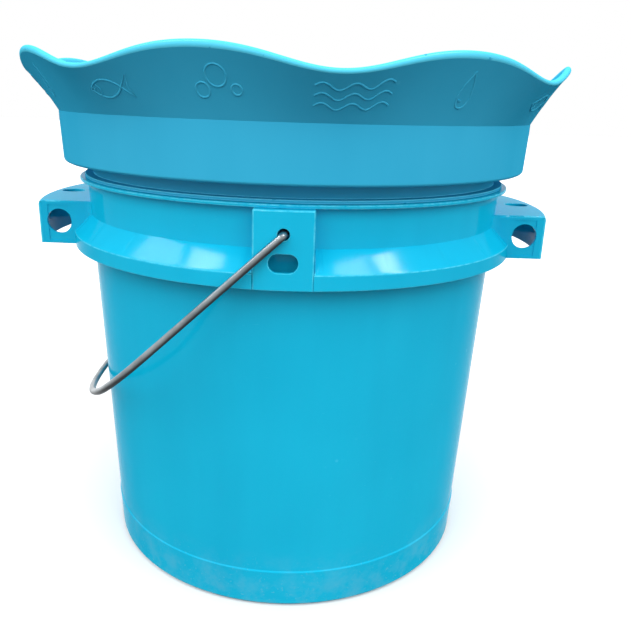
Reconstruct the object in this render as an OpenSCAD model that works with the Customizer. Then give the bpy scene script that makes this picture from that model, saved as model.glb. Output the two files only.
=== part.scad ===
// Bait bucket with a lift-out strainer: a round pail on a wire bail, a splash
// collar with a wavy flared rim, a slotted basket that hangs in it, and a
// battery air pump that feeds an air stone on the basket's floor.
// Millimetres, +Z up. The origin is the centre of the foot, on the ground.
// The bail's ears lie on the Y axis and the two side sockets on the X axis.

/* [Pail] */
// Outside radius of the pail's wall at the ground
foot_r = 135; // [134:0.5:136]
// Growth of the wall's radius per millimetre of height
draft = 0.041; // [0.039:0.001:0.042]
// Thickness of the pail's wall
wall_t = 2.4; // [2:0.1:2.6]
// Height of the lip's top face
lip_z = 270.3; // [270:0.1:271]
// Outside radius of the lip
lip_r = 151; // [150:0.5:152]
// Height of the step above the foot
foot_band_h = 28; // [20:1:34]

/* [Carrying collar] */
// Outside radius of the collar's upright face
collar_r = 156.7; // [155:0.1:157]
// Height of the collar's lower edge
collar_z = 224.5; // [222:0.5:226]
// Height of the corner between the collar's slope and its upright face
collar_corner_z = 233.7; // [232:0.1:235]
// Height at which the collar's slope meets the wall
collar_top_z = 245.5; // [244:0.5:247]
// Number of places for a stiffening rib under the collar
rib_count = 24; // [12:4:24]

/* [Ears and side sockets] */
// Width of an ear block
ear_w = 33.5; // [32:0.5:36]
// Height of the bail's pivot
bail_z = 255.2; // [254.5:0.1:256]
// Radius of the hole that the bail turns in
bail_hole_r = 3.3; // [2.8:0.1:3.6]
// Width across a side socket, along Y
socket_w = 106; // [100:1:110]
// Outside radius of a side socket's curved wall
socket_r = 179; // [176:0.5:180]
// Height of a side socket's top
socket_top_z = 253.7; // [252:0.1:254]
// Radius of the cross hole through a side socket
cross_hole_r = 8.25; // [7:0.25:8.5]
// Radius of the hole in a side socket's top
top_hole_r = 8; // [6:0.25:8.5]

/* [Bail] */
// Radius of the bail's wire
wire_r = 2.1; // [1.8:0.1:2.2]
// Angle at which the bail hangs below the horizontal
bail_drop = 43; // [42.5:0.1:43.5]
// Half the distance between the bail's legs
bail_half_w = 159.6; // [159.6:0.3:160.2]
// Length of a bail leg's straight stretch
bail_leg = 103; // [100:0.5:104]
// Radius of the bend between a leg and the crown
bail_bend_r = 60; // [57:3:63]

/* [Splash collar] */
// Outside radius of the band
band_r = 161.2; // [160:0.1:162]
// Height of the band's top
band_top_z = 314.3; // [312:0.1:316]
// Radius of the wavy rim
rim_r = 181.5; // [180:0.5:182]
// Mean height of the wavy rim
rim_z = 343; // [341:0.5:345]
// Height of the waves above and below the mean
wave_h = 5.4; // [2:0.1:7]
// Number of waves round the rim
wave_count = 8; // [4:2:12]
// Bearing of one wave crest, from the front ear towards +X
wave_bearing = -14.2; // [-20:0.1:20]
// Thickness of the collar's wall
collar_t = 2.8; // [2.4:0.1:3.2]

/* [Basket] */
// Outside radius of the basket at its floor
basket_foot_r = 118; // [114:1:120]
// Height of the basket's underside
basket_z = 62; // [58:1:66]
// Number of slots in each row round the wall
slot_count = 20; // [12:2:24]
// Width of a slot
slot_w = 5; // [3:0.5:6]

/* [Air pump] */
// Width of the pump's case
pump_w = 66; // [64:1:70]
// Depth of the pump's case
pump_d = 40; // [39.5:0.5:41]
// Height of the pump's case
pump_h = 106; // [106:0.5:107]
// Wall of the pump's case
case_t = 2.2; // [2:0.1:2.4]

/* [Hidden] */
$fn = 96;

function wall_r(z) = foot_r + draft * z;

// Pail
floor_t = 3;
floor_under_z = 3;
foot_proud = 0.5;
foot_edge_z = 2.5;
wall_root_z = 8.4;
lip_under_z = lip_z - 2.1;
collar_t_skirt = 2.2;
rib_t = 1.6;
ear_plate_t = 3;
ear_wall_t = 2.2;
ear_roof_z = lip_under_z - 2.6;
slot_in_ear_z = 239.5;
slot_in_ear_r = 5.2;
slot_in_ear_half = 2.9;
stop_rib = [1.5, 4.6];
stop_rib_z = 262.7;
socket_t = 2.6;
cross_hole = [157.6, 239.8];
top_hole_x = 165;
panel_w = 15;
panel_depth = 0.5;

// Bail
// Direction from a bend's centre to its end, a 3-4-5 slope
bail_slope = [-0.8, -0.6];
bail_crown_r = (bail_half_w - bail_bend_r * (1 + bail_slope[1])) / -bail_slope[1];
pivot_bend_r = 3;
tail_len = 9;
tail_y = 149.6;

// Splash collar
neck_r = 141.8;
neck_z = 246;
neck_t = 2.6;
shelf_z = 280.7;
bead_r = 147.6;
bead_z = lip_z + 0.1;
ledge_r = 133;
ledge_t = 2.4;
flare_root_z = band_top_z - 2;
flare_steps = 128;

// Basket
basket_t = 2.2;
basket_top_z = neck_z + ledge_t + 0.2;
basket_top_r = 132;
basket_flange_r = 137.6;
basket_flange_t = 2.4;
function basket_r(z) =
    basket_foot_r + (basket_top_r - basket_foot_r) * (z - basket_z) / (basket_top_z - basket_z);
slot_rows = [[84, 38], [132, 38], [180, 28]];
floor_rings = [[24, 8], [54, 12], [84, 20]];
floor_slot_len = 20;
tab_w = 26;
tab_h = 30;
tab_hole_r = 7.5;

// Air pump, on the basket's back wall
pump_back_y = 110;
pump_z = 216;
pump_front_y = pump_back_y - pump_d;
pump_top_z = pump_z + pump_h;
screw_places = [for (x = [-1, 1]) for (z = [pump_z + 6, pump_top_z - 5]) [x * (pump_w / 2 - 5), z]];
parting_y = 90;
works_x = 12;
works_y = 97;
door_z = [259.2, 317];
door_half_w = 28;
hinge = [67.6, 257];
knuckle_r = 2.2;
pin_r = 1.2;
cell_r = 13.1;
cell_len = 50;
cell_x = 13.6;
cell_y = 88.6;
cell_z = 262;
switch_x = -3;
switch_y = 100;
motor_r = 10;
motor_z = 240;
motor_x = [-22, 3];
crank_x = [5.5, 8.5];
crank_throw = 1;
rod_span_x = [9.2, 12.4];
rod_foot_z = 229.3;
rod_foot_r = 4;
rod_ring_r = 4;
diaphragm_z = 227.2;
clip_z = [236, 300];
tongue_z = [222, 273.7];
bracket_z = [206, 226];
bracket_gap = 0.25;
screw_gap = 0.05;
clip_gap = 0.3;
bracket_screw_x = 10;
bracket_screw_z = 215;
bracket_screw_r = 1.5;
bracket_screw_head_r = 3.2;
tube_r = 3;
tube_bore_r = 2.05;
tube_z = [82, 214];
stone_z = 72.4;
stone_r = 7;
stone_y = [30, 80];
clip_heights = [100, 145, 190];

// ---- shared shapes

// A cylinder along +X from x0 to x1, about the axis y, z
module rod_x(x0, x1, y, z, r) {
    translate([x0, y, z]) rotate([0, 90, 0]) cylinder(r = r, h = x1 - x0);
}

// A cylinder along +Y from y0 to y1, about the axis x, z
module rod_y(y0, y1, x, z, r) {
    translate([x, y0, z]) rotate([-90, 0, 0]) cylinder(r = r, h = y1 - y0);
}

// A cylinder along +Z from z0 to z1, about the axis x, y
module rod_z(z0, z1, x, y, r) {
    translate([x, y, z0]) cylinder(r = r, h = z1 - z0);
}

// A box given by its lowest and highest corners
module box(low, high) {
    translate(low) cube(high - low);
}

// A slot with round ends along Y, cut as a prism along Z
module slot_prism(len, w, h) {
    linear_extrude(h) {
        translate([-w / 2, -(len - w) / 2]) square([w, len - w]);
        translate([0, -(len - w) / 2]) circle(d = w, $fn = 32);
        translate([0, (len - w) / 2]) circle(d = w, $fn = 32);
    }
}

// Its children on both sides of the XZ plane
module front_and_back() {
    children();
    mirror([0, 1, 0]) children();
}

// Its children on both sides of the YZ plane
module left_and_right() {
    children();
    mirror([1, 0, 0]) children();
}

// ---- pail

// Outside radius of the proud band above the foot
function foot_band_r(z) =
    foot_r + foot_proud + draft * foot_band_h * (z - foot_edge_z) / (foot_band_h - 0.5 - foot_edge_z);

// Half section of the floor and the foot, up to the height where the wall begins
module floor_section() {
    polygon([
        [0, floor_under_z],
        [127, floor_under_z],
        [128.5, 0],
        [133, 0],
        [foot_r + foot_proud, foot_edge_z],
        [foot_band_r(wall_root_z), wall_root_z],
        [foot_r - 4.5, wall_root_z],
        [foot_r - 8.5, floor_under_z + floor_t],
        [0, floor_under_z + floor_t]
    ]);
}

// Half section of the wall and the lip
module wall_section() {
    polygon([
        [foot_r - 4.5, wall_root_z],
        [foot_band_r(wall_root_z), wall_root_z],
        [wall_r(foot_band_h) + foot_proud, foot_band_h - 0.5],
        [wall_r(foot_band_h), foot_band_h + 0.5],
        [wall_r(lip_under_z), lip_under_z],
        [lip_r - 0.6, lip_under_z],
        [lip_r, lip_under_z + 0.6],
        [lip_r, lip_z - 0.7],
        [lip_r - 0.7, lip_z],
        [wall_r(lip_z) - wall_t + 0.5, lip_z],
        [wall_r(lip_z) - wall_t, lip_z - 0.5],
        [wall_r(14) - wall_t, 14]
    ]);
}

// Everything inside the wall's outer face, cut from what stands on the wall
module wall_cone() {
    cylinder(r1 = foot_r, r2 = wall_r(lip_z), h = lip_z);
}

// Half section of the hollow collar, a slope and a skirt open below
module carrying_collar_section() {
    inner_r = wall_r(collar_top_z) - 0.6;
    polygon([
        [inner_r, collar_top_z + 0.6],
        [collar_r - 0.5, collar_corner_z + 0.2],
        [collar_r, collar_corner_z - 0.4],
        [collar_r, collar_z],
        [collar_r - collar_t_skirt, collar_z],
        [collar_r - collar_t_skirt, collar_corner_z - 1],
        [inner_r, collar_top_z - 2.6]
    ]);
}

// Stiffening ribs under the collar, left out where an ear or a socket stands
module collar_ribs() {
    step = 360 / rib_count;
    intersection() {
        rotate_extrude() polygon([
            [wall_r(collar_z) - 0.6, collar_z + 2],
            [collar_r - 1, collar_z + 2],
            [collar_r - 1, collar_corner_z - 0.6],
            [wall_r(collar_top_z) - 0.6, collar_top_z - 1.5]
        ]);
        for (i = [0 : rib_count - 1]) {
            bearing = (i + 0.5) * step;
            from_x_axis = abs((bearing + 90) % 180 - 90);
            from_y_axis = 90 - from_x_axis;
            if (from_x_axis > 22 && from_y_axis > 7)
                rotate([0, 0, bearing])
                    translate([wall_r(collar_z) - 2, -rib_t / 2, collar_z])
                        cube([collar_r - wall_r(collar_z) + 4, rib_t, 24]);
        }
    }
}

// Outside of the front ear block, flush with the collar's face
module ear_block() {
    intersection() {
        box([-ear_w / 2, -collar_r - 5, collar_z], [ear_w / 2, -wall_r(collar_z) + 3, lip_under_z]);
        cylinder(r = collar_r, h = lip_z);
    }
}

// Hollow of the front ear block, open below
module ear_hollow() {
    half = ear_w / 2 - ear_wall_t;
    intersection() {
        box([-half, -collar_r, collar_z - 1], [half, -wall_r(collar_z) + 8, ear_roof_z]);
        cylinder(r = collar_r - ear_plate_t, h = lip_z);
    }
}

// Rib in the front ear that the bail's tail comes to rest under
module ear_stop() {
    box([stop_rib[0], -collar_r + ear_plate_t - 0.6, stop_rib_z],
        [stop_rib[1], -wall_r(stop_rib_z) + 0.6, ear_roof_z + 0.5]);
}

// Bail hole and oval slot through the front ear's plate
module ear_holes() {
    rod_y(-collar_r - 2, -collar_r + ear_plate_t + 2, 0, bail_z, bail_hole_r);
    for (x = [-slot_in_ear_half, slot_in_ear_half])
        rod_y(-collar_r - 2, -collar_r + ear_plate_t + 2, x, slot_in_ear_z, slot_in_ear_r);
    box([-slot_in_ear_half, -collar_r - 2, slot_in_ear_z - slot_in_ear_r],
        [slot_in_ear_half, -collar_r + ear_plate_t + 2, slot_in_ear_z + slot_in_ear_r]);
}

// Outside of the right-hand socket, a box with one curved wall
module socket_block() {
    intersection() {
        box([100, -socket_w / 2, collar_z], [socket_r + 1, socket_w / 2, socket_top_z]);
        rotate_extrude() polygon([
            [100, collar_z],
            [socket_r, collar_z],
            [socket_r, socket_top_z - 2.4],
            [socket_r - 0.7, socket_top_z - 0.7],
            [socket_r - 2.4, socket_top_z],
            [100, socket_top_z]
        ]);
    }
}

// Cross hole, top hole and shallow panels of the right-hand socket
module socket_holes() {
    rod_y(-socket_w / 2 - 1, socket_w / 2 + 1, cross_hole[0], cross_hole[1], cross_hole_r);
    rod_z(socket_top_z - 6, socket_top_z + 1, top_hole_x, 0, top_hole_r);
    front_and_back()
        box([cross_hole[0] - panel_w / 2, -socket_w / 2 - 1, collar_z + 2],
            [cross_hole[0] + panel_w / 2, -socket_w / 2 + panel_depth, socket_top_z - 3]);
}

module bucket() {
    color([0.08, 0.69, 0.83])
        rotate_extrude() wall_section();
}

module pail_floor() {
    color([0.08, 0.69, 0.83])
        rotate_extrude() floor_section();
}

// Hollow ring of four arcs between the ears and the sockets, with its ribs
module carrying_collar() {
    color([0.08, 0.69, 0.83])
        difference() {
            union() {
                rotate_extrude() carrying_collar_section();
                collar_ribs();
            }
            wall_cone();
            front_and_back()
                box([-ear_w / 2, -collar_r - 5, collar_z - 1], [ear_w / 2, -100, lip_under_z]);
            left_and_right()
                box([100, -socket_w / 2, collar_z - 1], [socket_r, socket_w / 2, socket_top_z]);
        }
}

// Hollow block that carries the bail on the front, and the rib that stops its tail
module ear() {
    color([0.08, 0.69, 0.83])
        difference() {
            union() {
                difference() {
                    ear_block();
                    ear_hollow();
                    ear_holes();
                }
                ear_stop();
            }
            wall_cone();
        }
}

module front_ear() {
    ear();
}

module back_ear() {
    mirror([0, 1, 0]) ear();
}

// The space under the right-hand socket's top and inside its curved wall
module socket_core() {
    cylinder(r = socket_r - socket_t, h = socket_top_z - socket_t);
}

// Top and curved wall of the right-hand socket, which meets the pail's wall
module side_socket() {
    color([0.08, 0.69, 0.83])
        difference() {
            socket_block();
            wall_cone();
            socket_core();
            socket_holes();
        }
}

// Front and back walls of the right-hand socket
module socket_cheeks() {
    half = socket_w / 2 - socket_t;
    color([0.08, 0.69, 0.83])
        difference() {
            intersection() {
                socket_block();
                socket_core();
            }
            wall_cone();
            box([100, -half, collar_z - 1], [socket_r, half, socket_top_z]);
            socket_holes();
        }
}

module left_socket() {
    mirror([1, 0, 0]) side_socket();
}

module left_socket_cheeks() {
    mirror([1, 0, 0]) socket_cheeks();
}

module right_socket() {
    side_socket();
}

module right_socket_cheeks() {
    socket_cheeks();
}

// ---- bail

// Part of a ring of wire about the origin, between two directions less than 180 degrees apart
module wire_arc(bend_r, from, to) {
    reach = 3 * bend_r;
    middle = (from + to) * reach;
    intersection() {
        rotate_extrude() translate([bend_r, 0]) circle(r = wire_r, $fn = 32);
        translate([0, 0, -2 * wire_r])
            linear_extrude(4 * wire_r) polygon([[0, 0], from * reach, middle, to * reach]);
    }
}

// One leg, its bends and its tail, in the plane z = 0 with the pivot on Y
module bail_side() {
    knee_y = bail_half_w - pivot_bend_r;
    tail_bend_y = tail_y + pivot_bend_r;
    translate([-bail_leg, -bail_half_w + bail_bend_r, 0]) wire_arc(bail_bend_r, [0, -1], bail_slope);
    rod_x(-bail_leg, -pivot_bend_r, -bail_half_w, 0, wire_r);
    translate([-pivot_bend_r, -knee_y, 0]) wire_arc(pivot_bend_r, [0, -1], [1, 0]);
    rod_y(-knee_y, -tail_bend_y, 0, 0, wire_r);
    translate([pivot_bend_r, -tail_bend_y, 0]) wire_arc(pivot_bend_r, [0, 1], [-1, 0]);
    rod_x(pivot_bend_r, tail_len, -tail_y, 0, wire_r);
}

// The curve across the top of the bail, between the ends of the two bends
module bail_crown() {
    centre_x = -bail_leg - (bail_bend_r - bail_crown_r) * -bail_slope[0];
    translate([centre_x, 0, 0]) {
        wire_arc(bail_crown_r, bail_slope, [-1, 0]);
        wire_arc(bail_crown_r, [bail_slope[0], -bail_slope[1]], [-1, 0]);
    }
}

module bail_wire() {
    color([0.45, 0.46, 0.48])
        translate([0, 0, bail_z])
            rotate([0, -bail_drop, 0]) {
                front_and_back() bail_side();
                bail_crown();
            }
}

// ---- splash collar

// Half section of the neck that stands in the pail's mouth, with its ledge and stop bead
module collar_neck_section() {
    polygon([
        [ledge_r, neck_z],
        [neck_r - 0.6, neck_z],
        [neck_r, neck_z + 0.6],
        [neck_r, bead_z],
        [bead_r - 0.5, bead_z],
        [bead_r, bead_z + 0.5],
        [bead_r, bead_z + 1.5],
        [bead_r - 0.5, bead_z + 2],
        [neck_r, bead_z + 2],
        [neck_r, shelf_z],
        [neck_r - neck_t, shelf_z],
        [neck_r - neck_t, neck_z + ledge_t],
        [ledge_r, neck_z + ledge_t]
    ]);
}

// Half section of the shelf and the upright band
module collar_band_section() {
    polygon([
        [neck_r - neck_t, shelf_z],
        [band_r - 2.6, shelf_z],
        [band_r - 0.9, shelf_z + 1.6],
        [band_r, band_top_z],
        [band_r - collar_t, band_top_z],
        [band_r - 0.7 - collar_t, shelf_z + collar_t + 1],
        [band_r - 2.6 - collar_t, shelf_z + collar_t],
        [neck_r - neck_t + 1.2, shelf_z + collar_t],
        [neck_r - neck_t, shelf_z + collar_t - 1.2]
    ]);
}

function wave_z(bearing) = rim_z + wave_h * cos(wave_count * (bearing - wave_bearing));

// A point on the flare: t runs from the band to the rim, inset is in from the outside
function flare_point(bearing, t, inset) =
    let (
        z = flare_root_z + t * (wave_z(bearing) - flare_root_z),
        r = band_r + (rim_r - band_r) * t * (0.93 + 0.07 * t) - inset
    ) [r * sin(bearing), -r * cos(bearing), z];

// Closed wavy flare: rings of points up the outside and down the inside
module flare() {
    levels = [0, 0.25, 0.5, 0.75, 1];
    ring_list = concat(
        [for (t = levels) [t, 0]],
        [for (i = [len(levels) - 1 : -1 : 0]) [levels[i], collar_t]]
    );
    n = flare_steps;
    m = len(ring_list);
    points = [
        for (ring = ring_list)
            for (i = [0 : n - 1]) flare_point(360 * i / n, ring[0], ring[1])
    ];
    faces = [
        for (k = [0 : m - 1])
            for (i = [0 : n - 1])
                let (a = k * n + i, b = k * n + (i + 1) % n, c = ((k + 1) % m) * n + (i + 1) % n,
                     d = ((k + 1) % m) * n + i)
                each [[a, d, c], [a, c, b]]
    ];
    polyhedron(points, faces);
}

module collar_neck() {
    color([0.1, 0.55, 0.66])
        rotate_extrude() collar_neck_section();
}

module splash_collar() {
    color([0.1, 0.55, 0.66]) {
        rotate_extrude() collar_band_section();
        flare();
    }
}

// ---- basket

// Half section of the basket's flange, wall and floor
module basket_section() {
    polygon([
        [0, basket_z],
        [basket_foot_r - 2, basket_z],
        [basket_foot_r, basket_z + 2],
        [basket_top_r, basket_top_z],
        [basket_flange_r, basket_top_z],
        [basket_flange_r, basket_top_z + basket_flange_t],
        [basket_top_r - basket_t, basket_top_z + basket_flange_t],
        [basket_foot_r - basket_t, basket_z + 4],
        [basket_foot_r - basket_t - 2, basket_z + 2.4],
        [0, basket_z + 2.4]
    ]);
}

// Slots in the wall, one row above another; the strip behind the pump stays whole
module wall_slots() {
    step = 360 / slot_count;
    for (row = slot_rows)
        for (i = [0 : slot_count - 1])
            if (abs(i * step - 90) > 20)
                rotate([0, 0, i * step])
                    translate([basket_foot_r - 10, 0, row[0] + row[1] / 2])
                        rotate([0, 90, 0])
                            rotate([0, 0, 90])
                                slot_prism(row[1], slot_w, 26);
}

// Slots in the floor, in rings; those under the air stone stay whole
module floor_slots() {
    for (ring = floor_rings)
        for (i = [0 : ring[1] - 1]) {
            bearing = (i + 0.5) * 360 / ring[1];
            at = ring[0] * [cos(bearing), sin(bearing)];
            if (at[1] < 8 || abs(at[0] - works_x) > 20)
                translate([at[0], at[1], basket_z - 1])
                    rotate([0, 0, bearing - 90])
                        slot_prism(floor_slot_len, slot_w, 5);
        }
}

// Finger tab with a grip hole that stands up from the flange on the right
module lift_tab() {
    difference() {
        box([basket_top_r - basket_t, -tab_w / 2, basket_top_z + 1],
            [basket_top_r + 0.6, tab_w / 2, basket_top_z + tab_h]);
        rod_x(basket_top_r - 5, basket_top_r + 5, 0, basket_top_z + tab_h - 12, tab_hole_r);
    }
}

module bait_basket() {
    color([0.1, 0.62, 0.74]) {
        difference() {
            rotate_extrude() basket_section();
            wall_slots();
            floor_slots();
            for (x = [-bracket_screw_x, bracket_screw_x])
                rod_y(pump_back_y, basket_top_r, x, bracket_screw_z, bracket_screw_r + screw_gap);
        }
        left_and_right() lift_tab();
    }
}

// ---- pump bracket, air line and stone

module pump_bracket() {
    color([0.12, 0.13, 0.14])
        difference() {
            union() {
                box([-14, pump_back_y + 1, tongue_z[0]], [14, pump_back_y + 4, tongue_z[1]]);
                intersection() {
                    box([-18, pump_back_y + 1, bracket_z[0]], [18, basket_top_r, bracket_z[1]]);
                    cylinder(r = basket_r(bracket_z[0]) - basket_t - bracket_gap, h = bracket_z[1] + 10);
                }
            }
            for (x = [-bracket_screw_x, bracket_screw_x])
                rod_y(pump_back_y + 6, basket_top_r, x, bracket_screw_z, bracket_screw_r + screw_gap);
        }
}

// Two screws through the basket's wall into the bracket
module bracket_screws() {
    outer_r = basket_r(bracket_screw_z);
    head_y = outer_r * cos(asin(bracket_screw_x / outer_r)) + 0.6;
    color([0.7, 0.7, 0.72])
        for (x = [-bracket_screw_x, bracket_screw_x]) {
            rod_y(pump_back_y + 8, head_y + 0.5, x, bracket_screw_z, bracket_screw_r);
            rod_y(head_y, head_y + 2.2, x, bracket_screw_z, bracket_screw_head_r);
        }
}

module air_tube() {
    color([0.75, 0.85, 0.88])
        difference() {
            rod_z(tube_z[0], tube_z[1], works_x, works_y, tube_r);
            rod_z(tube_z[0] - 1, tube_z[1] + 1, works_x, works_y, tube_bore_r);
        }
}

// Three arms from the basket's wall, each with a ring round the tube
module tube_clips() {
    color([0.1, 0.62, 0.74])
        for (z = clip_heights)
            difference() {
                union() {
                    rod_z(z, z + 6, works_x, works_y, tube_r + 2);
                    intersection() {
                        box([works_x - 2, works_y + 3.5, z], [works_x + 2, 140, z + 6]);
                        cylinder(r = basket_r(z) - basket_t - clip_gap, h = z + 20);
                    }
                }
                rod_z(z - 1, z + 7, works_x, works_y, tube_r + 0.03);
            }
}

// Elbow from the tube's lower end to the stone's cap
module tube_elbow() {
    color([0.15, 0.16, 0.17]) {
        rod_z(stone_z, tube_z[0], works_x, works_y, 3.6);
        rod_z(tube_z[0] - 0.5, tube_z[0] + 8, works_x, works_y, 2);
        translate([works_x, works_y, stone_z]) sphere(r = 3.6);
        rod_y(stone_y[1] + 7, works_y, works_x, stone_z, 3.6);
        rod_y(stone_y[1] + 3, stone_y[1] + 8, works_x, stone_z, 2);
    }
}

module stone_cap() {
    color([0.13, 0.35, 0.6])
        difference() {
            union() {
                rod_y(stone_y[1], stone_y[1] + 3, works_x, stone_z, stone_r);
                rod_y(stone_y[1] + 2.5, stone_y[1] + 7, works_x, stone_z, 3.6);
            }
            rod_y(stone_y[1] + 2, stone_y[1] + 8, works_x, stone_z, 2.05);
        }
}

module air_stone() {
    color([0.62, 0.66, 0.7])
        rod_y(stone_y[0], stone_y[1], works_x, stone_z, stone_r);
}

// Saddle that holds the stone on the basket's floor
module stone_saddle() {
    floor_z = basket_z + 2.4;
    color([0.12, 0.13, 0.14])
        difference() {
            box([works_x - 10, 50, floor_z], [works_x + 10, 58, stone_z + 3]);
            rod_y(49, 59, works_x, stone_z, stone_r + 0.05);
            box([works_x - stone_r + 1, 49, stone_z], [works_x + stone_r - 1, 59, stone_z + 20]);
        }
}

// ---- air pump

// Shell of the case between two depths, open on one side
module case_shell(y0, y1, closed_y) {
    half = pump_w / 2;
    difference() {
        box([-half, y0, pump_z], [half, y1, pump_top_z]);
        box([-half + case_t, closed_y == y0 ? y0 + case_t : y0 - 1, pump_z + case_t],
            [half - case_t, closed_y == y1 ? y1 - case_t : y1 + 1, pump_top_z - case_t]);
    }
}

module pump_rear_shell() {
    color([0.2, 0.22, 0.24])
        difference() {
            union() {
                case_shell(parting_y, pump_back_y, pump_back_y);
                for (p = screw_places) rod_y(parting_y, pump_back_y - 1, p[0], p[1], 3.4);
            }
            for (p = screw_places) rod_y(parting_y - 1, pump_back_y + 1, p[0], p[1], 1.6);
            for (p = screw_places) rod_y(pump_back_y - 2, pump_back_y + 1, p[0], p[1], 3);
            rod_z(pump_z - 1, pump_z + 5, works_x, works_y, 2.6);
            box([switch_x - 4.6, switch_y - 2.6, pump_top_z - 5],
                [switch_x + 10.6, switch_y + 2.6, pump_top_z + 1]);
        }
}

module pump_front_shell() {
    color([0.16, 0.5, 0.6])
        difference() {
            union() {
                case_shell(pump_front_y, parting_y - 0.6, pump_front_y);
                for (p = screw_places) rod_y(pump_front_y + 1, parting_y - 0.6, p[0], p[1], 3.4);
                for (x = [-20, 12.3]) {
                    rod_x(x, x + 7.7, hinge[0], hinge[1], knuckle_r);
                    box([x, hinge[0], hinge[1] - knuckle_r], [x + 7.7, pump_front_y + 1, hinge[1] + 1]);
                }
            }
            for (p = screw_places) rod_y(pump_front_y + 4, parting_y + 1, p[0], p[1], 1.45);
            rod_x(-21, 21, hinge[0], hinge[1], pin_r + 0.02);
            box([-door_half_w - 0.4, pump_front_y - 1, door_z[0] - 0.4],
                [door_half_w + 0.4, pump_front_y + case_t + 1, door_z[1] + 0.4]);
        }
}

module case_screws() {
    color([0.7, 0.7, 0.72])
        for (p = screw_places) {
            rod_y(pump_front_y + 8, pump_back_y - 3, p[0], p[1], 1.4);
            rod_y(pump_back_y - 3.9, pump_back_y - 0.5, p[0], p[1], 1.4);
            rod_y(pump_back_y - 2, pump_back_y - 0.5, p[0], p[1], 2.6);
        }
}

// Flat seal between the two halves of the case
module case_gasket() {
    half = pump_w / 2;
    color([0.1, 0.1, 0.1])
        difference() {
            box([-half + 0.2, parting_y - 0.6, pump_z + 0.2], [half - 0.2, parting_y, pump_top_z - 0.2]);
            box([-half + 10, parting_y - 1, pump_z + case_t],
                [half - 10, parting_y + 1, pump_top_z - case_t]);
            box([-half + case_t, parting_y - 1, pump_z + 12],
                [half - case_t, parting_y + 1, pump_top_z - 10]);
            for (p = screw_places) rod_y(parting_y - 1, parting_y + 1, p[0], p[1], 1.6);
        }
}

// Hook on the pump's back that drops over the bracket's tongue
module belt_clip() {
    bridge_z = tongue_z[1] + 0.3;
    color([0.12, 0.13, 0.14]) {
        box([-11, pump_back_y, bridge_z], [11, pump_back_y + 2.4, clip_z[1]]);
        box([-11, pump_back_y, bridge_z], [11, pump_back_y + 7.6, bridge_z + 3]);
        box([-11, pump_back_y + 5, clip_z[0]], [11, pump_back_y + 7.6, bridge_z + 3]);
    }
}

module battery_door() {
    color([0.12, 0.13, 0.14])
        difference() {
            union() {
                box([-door_half_w, pump_front_y, door_z[0]], [door_half_w, pump_front_y + case_t, door_z[1]]);
                rod_x(-11.9, 11.9, hinge[0], hinge[1], knuckle_r);
                box([-11.9, hinge[0] - 1.2, hinge[1]], [11.9, pump_front_y - 0.4, door_z[0] + 5]);
                box([-11.9, pump_front_y - 0.5, door_z[0]], [11.9, pump_front_y + 0.1, door_z[0] + 5]);
                box([-8, pump_front_y - 1.4, door_z[1] - 6], [8, pump_front_y + 0.1, door_z[1] - 2]);
            }
            rod_x(-13, 13, hinge[0], hinge[1], pin_r + 0.05);
        }
}

module door_hinge_pin() {
    color([0.75, 0.75, 0.77])
        rod_x(-20, 20, hinge[0], hinge[1], pin_r);
}

// A round cell with its cap at the top
module battery_cell(x) {
    rod_z(cell_z, cell_z + cell_len - 2, x, cell_y, cell_r);
    rod_z(cell_z + cell_len - 2.1, cell_z + cell_len, x, cell_y, 3.4);
}

module battery_cell_left() {
    color([0.85, 0.6, 0.2]) battery_cell(-cell_x);
}

module battery_cell_right() {
    color([0.85, 0.6, 0.2]) battery_cell(cell_x);
}

// Points round the wire of a coil spring that narrows towards the cell
function coil_point(i, k, per_turn, turns, r0, r1, rise, wire) =
    let (
        s = i / (per_turn * turns),
        a = 360 * i / per_turn,
        r = r0 + (r1 - r0) * s + wire * cos(45 * k)
    ) [r * cos(a), r * sin(a), s * rise + wire * sin(45 * k)];

module contact_spring(x) {
    per_turn = 16;
    turns = 3;
    rings = per_turn * turns + 1;
    points = [
        for (i = [0 : rings - 1])
            for (k = [0 : 7]) coil_point(i, k, per_turn, turns, 6, 3, 2.8, 0.4)
    ];
    sides = [
        for (i = [0 : rings - 2])
            for (k = [0 : 7])
                let (a = i * 8 + k, b = i * 8 + (k + 1) % 8, c = (i + 1) * 8 + (k + 1) % 8,
                     d = (i + 1) * 8 + k)
                each [[a, b, c], [a, c, d]]
    ];
    ends = [[for (k = [7 : -1 : 0]) k], [for (k = [0 : 7]) (rings - 1) * 8 + k]];
    translate([x, cell_y, cell_z - 3.3]) polyhedron(points, concat(sides, ends));
}

module contact_springs() {
    color([0.78, 0.78, 0.76]) {
        contact_spring(-cell_x);
        contact_spring(cell_x);
    }
}

// Flat strips under the springs and a bridge over both cell caps
module contact_strips() {
    color([0.8, 0.78, 0.7]) {
        for (x = [-cell_x, cell_x]) box([x - 8, cell_y - 8, cell_z - 4.5], [x + 8, cell_y + 8, cell_z - 3.7]);
        box([-cell_x - 6, cell_y - 5, cell_z + cell_len + 0.05],
            [cell_x + 6, cell_y + 5, cell_z + cell_len + 0.8]);
    }
}

module pump_motor() {
    color([0.7, 0.71, 0.73]) {
        rod_x(motor_x[0], motor_x[1], works_y, motor_z, motor_r);
        rod_x(motor_x[0] - 2, motor_x[0] + 0.1, works_y, motor_z, 3);
    }
}

// Crank disc on the motor's shaft with an offset pin
module motor_crank() {
    color([0.9, 0.88, 0.8]) {
        rod_x(motor_x[1] + 0.3, crank_x[0] + 0.1, works_y, motor_z, 1);
        rod_x(crank_x[0], crank_x[1], works_y, motor_z, 4);
        rod_x(crank_x[1] - 0.1, rod_span_x[1] + 1, works_y, motor_z + crank_throw, 1.4);
    }
}

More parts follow.
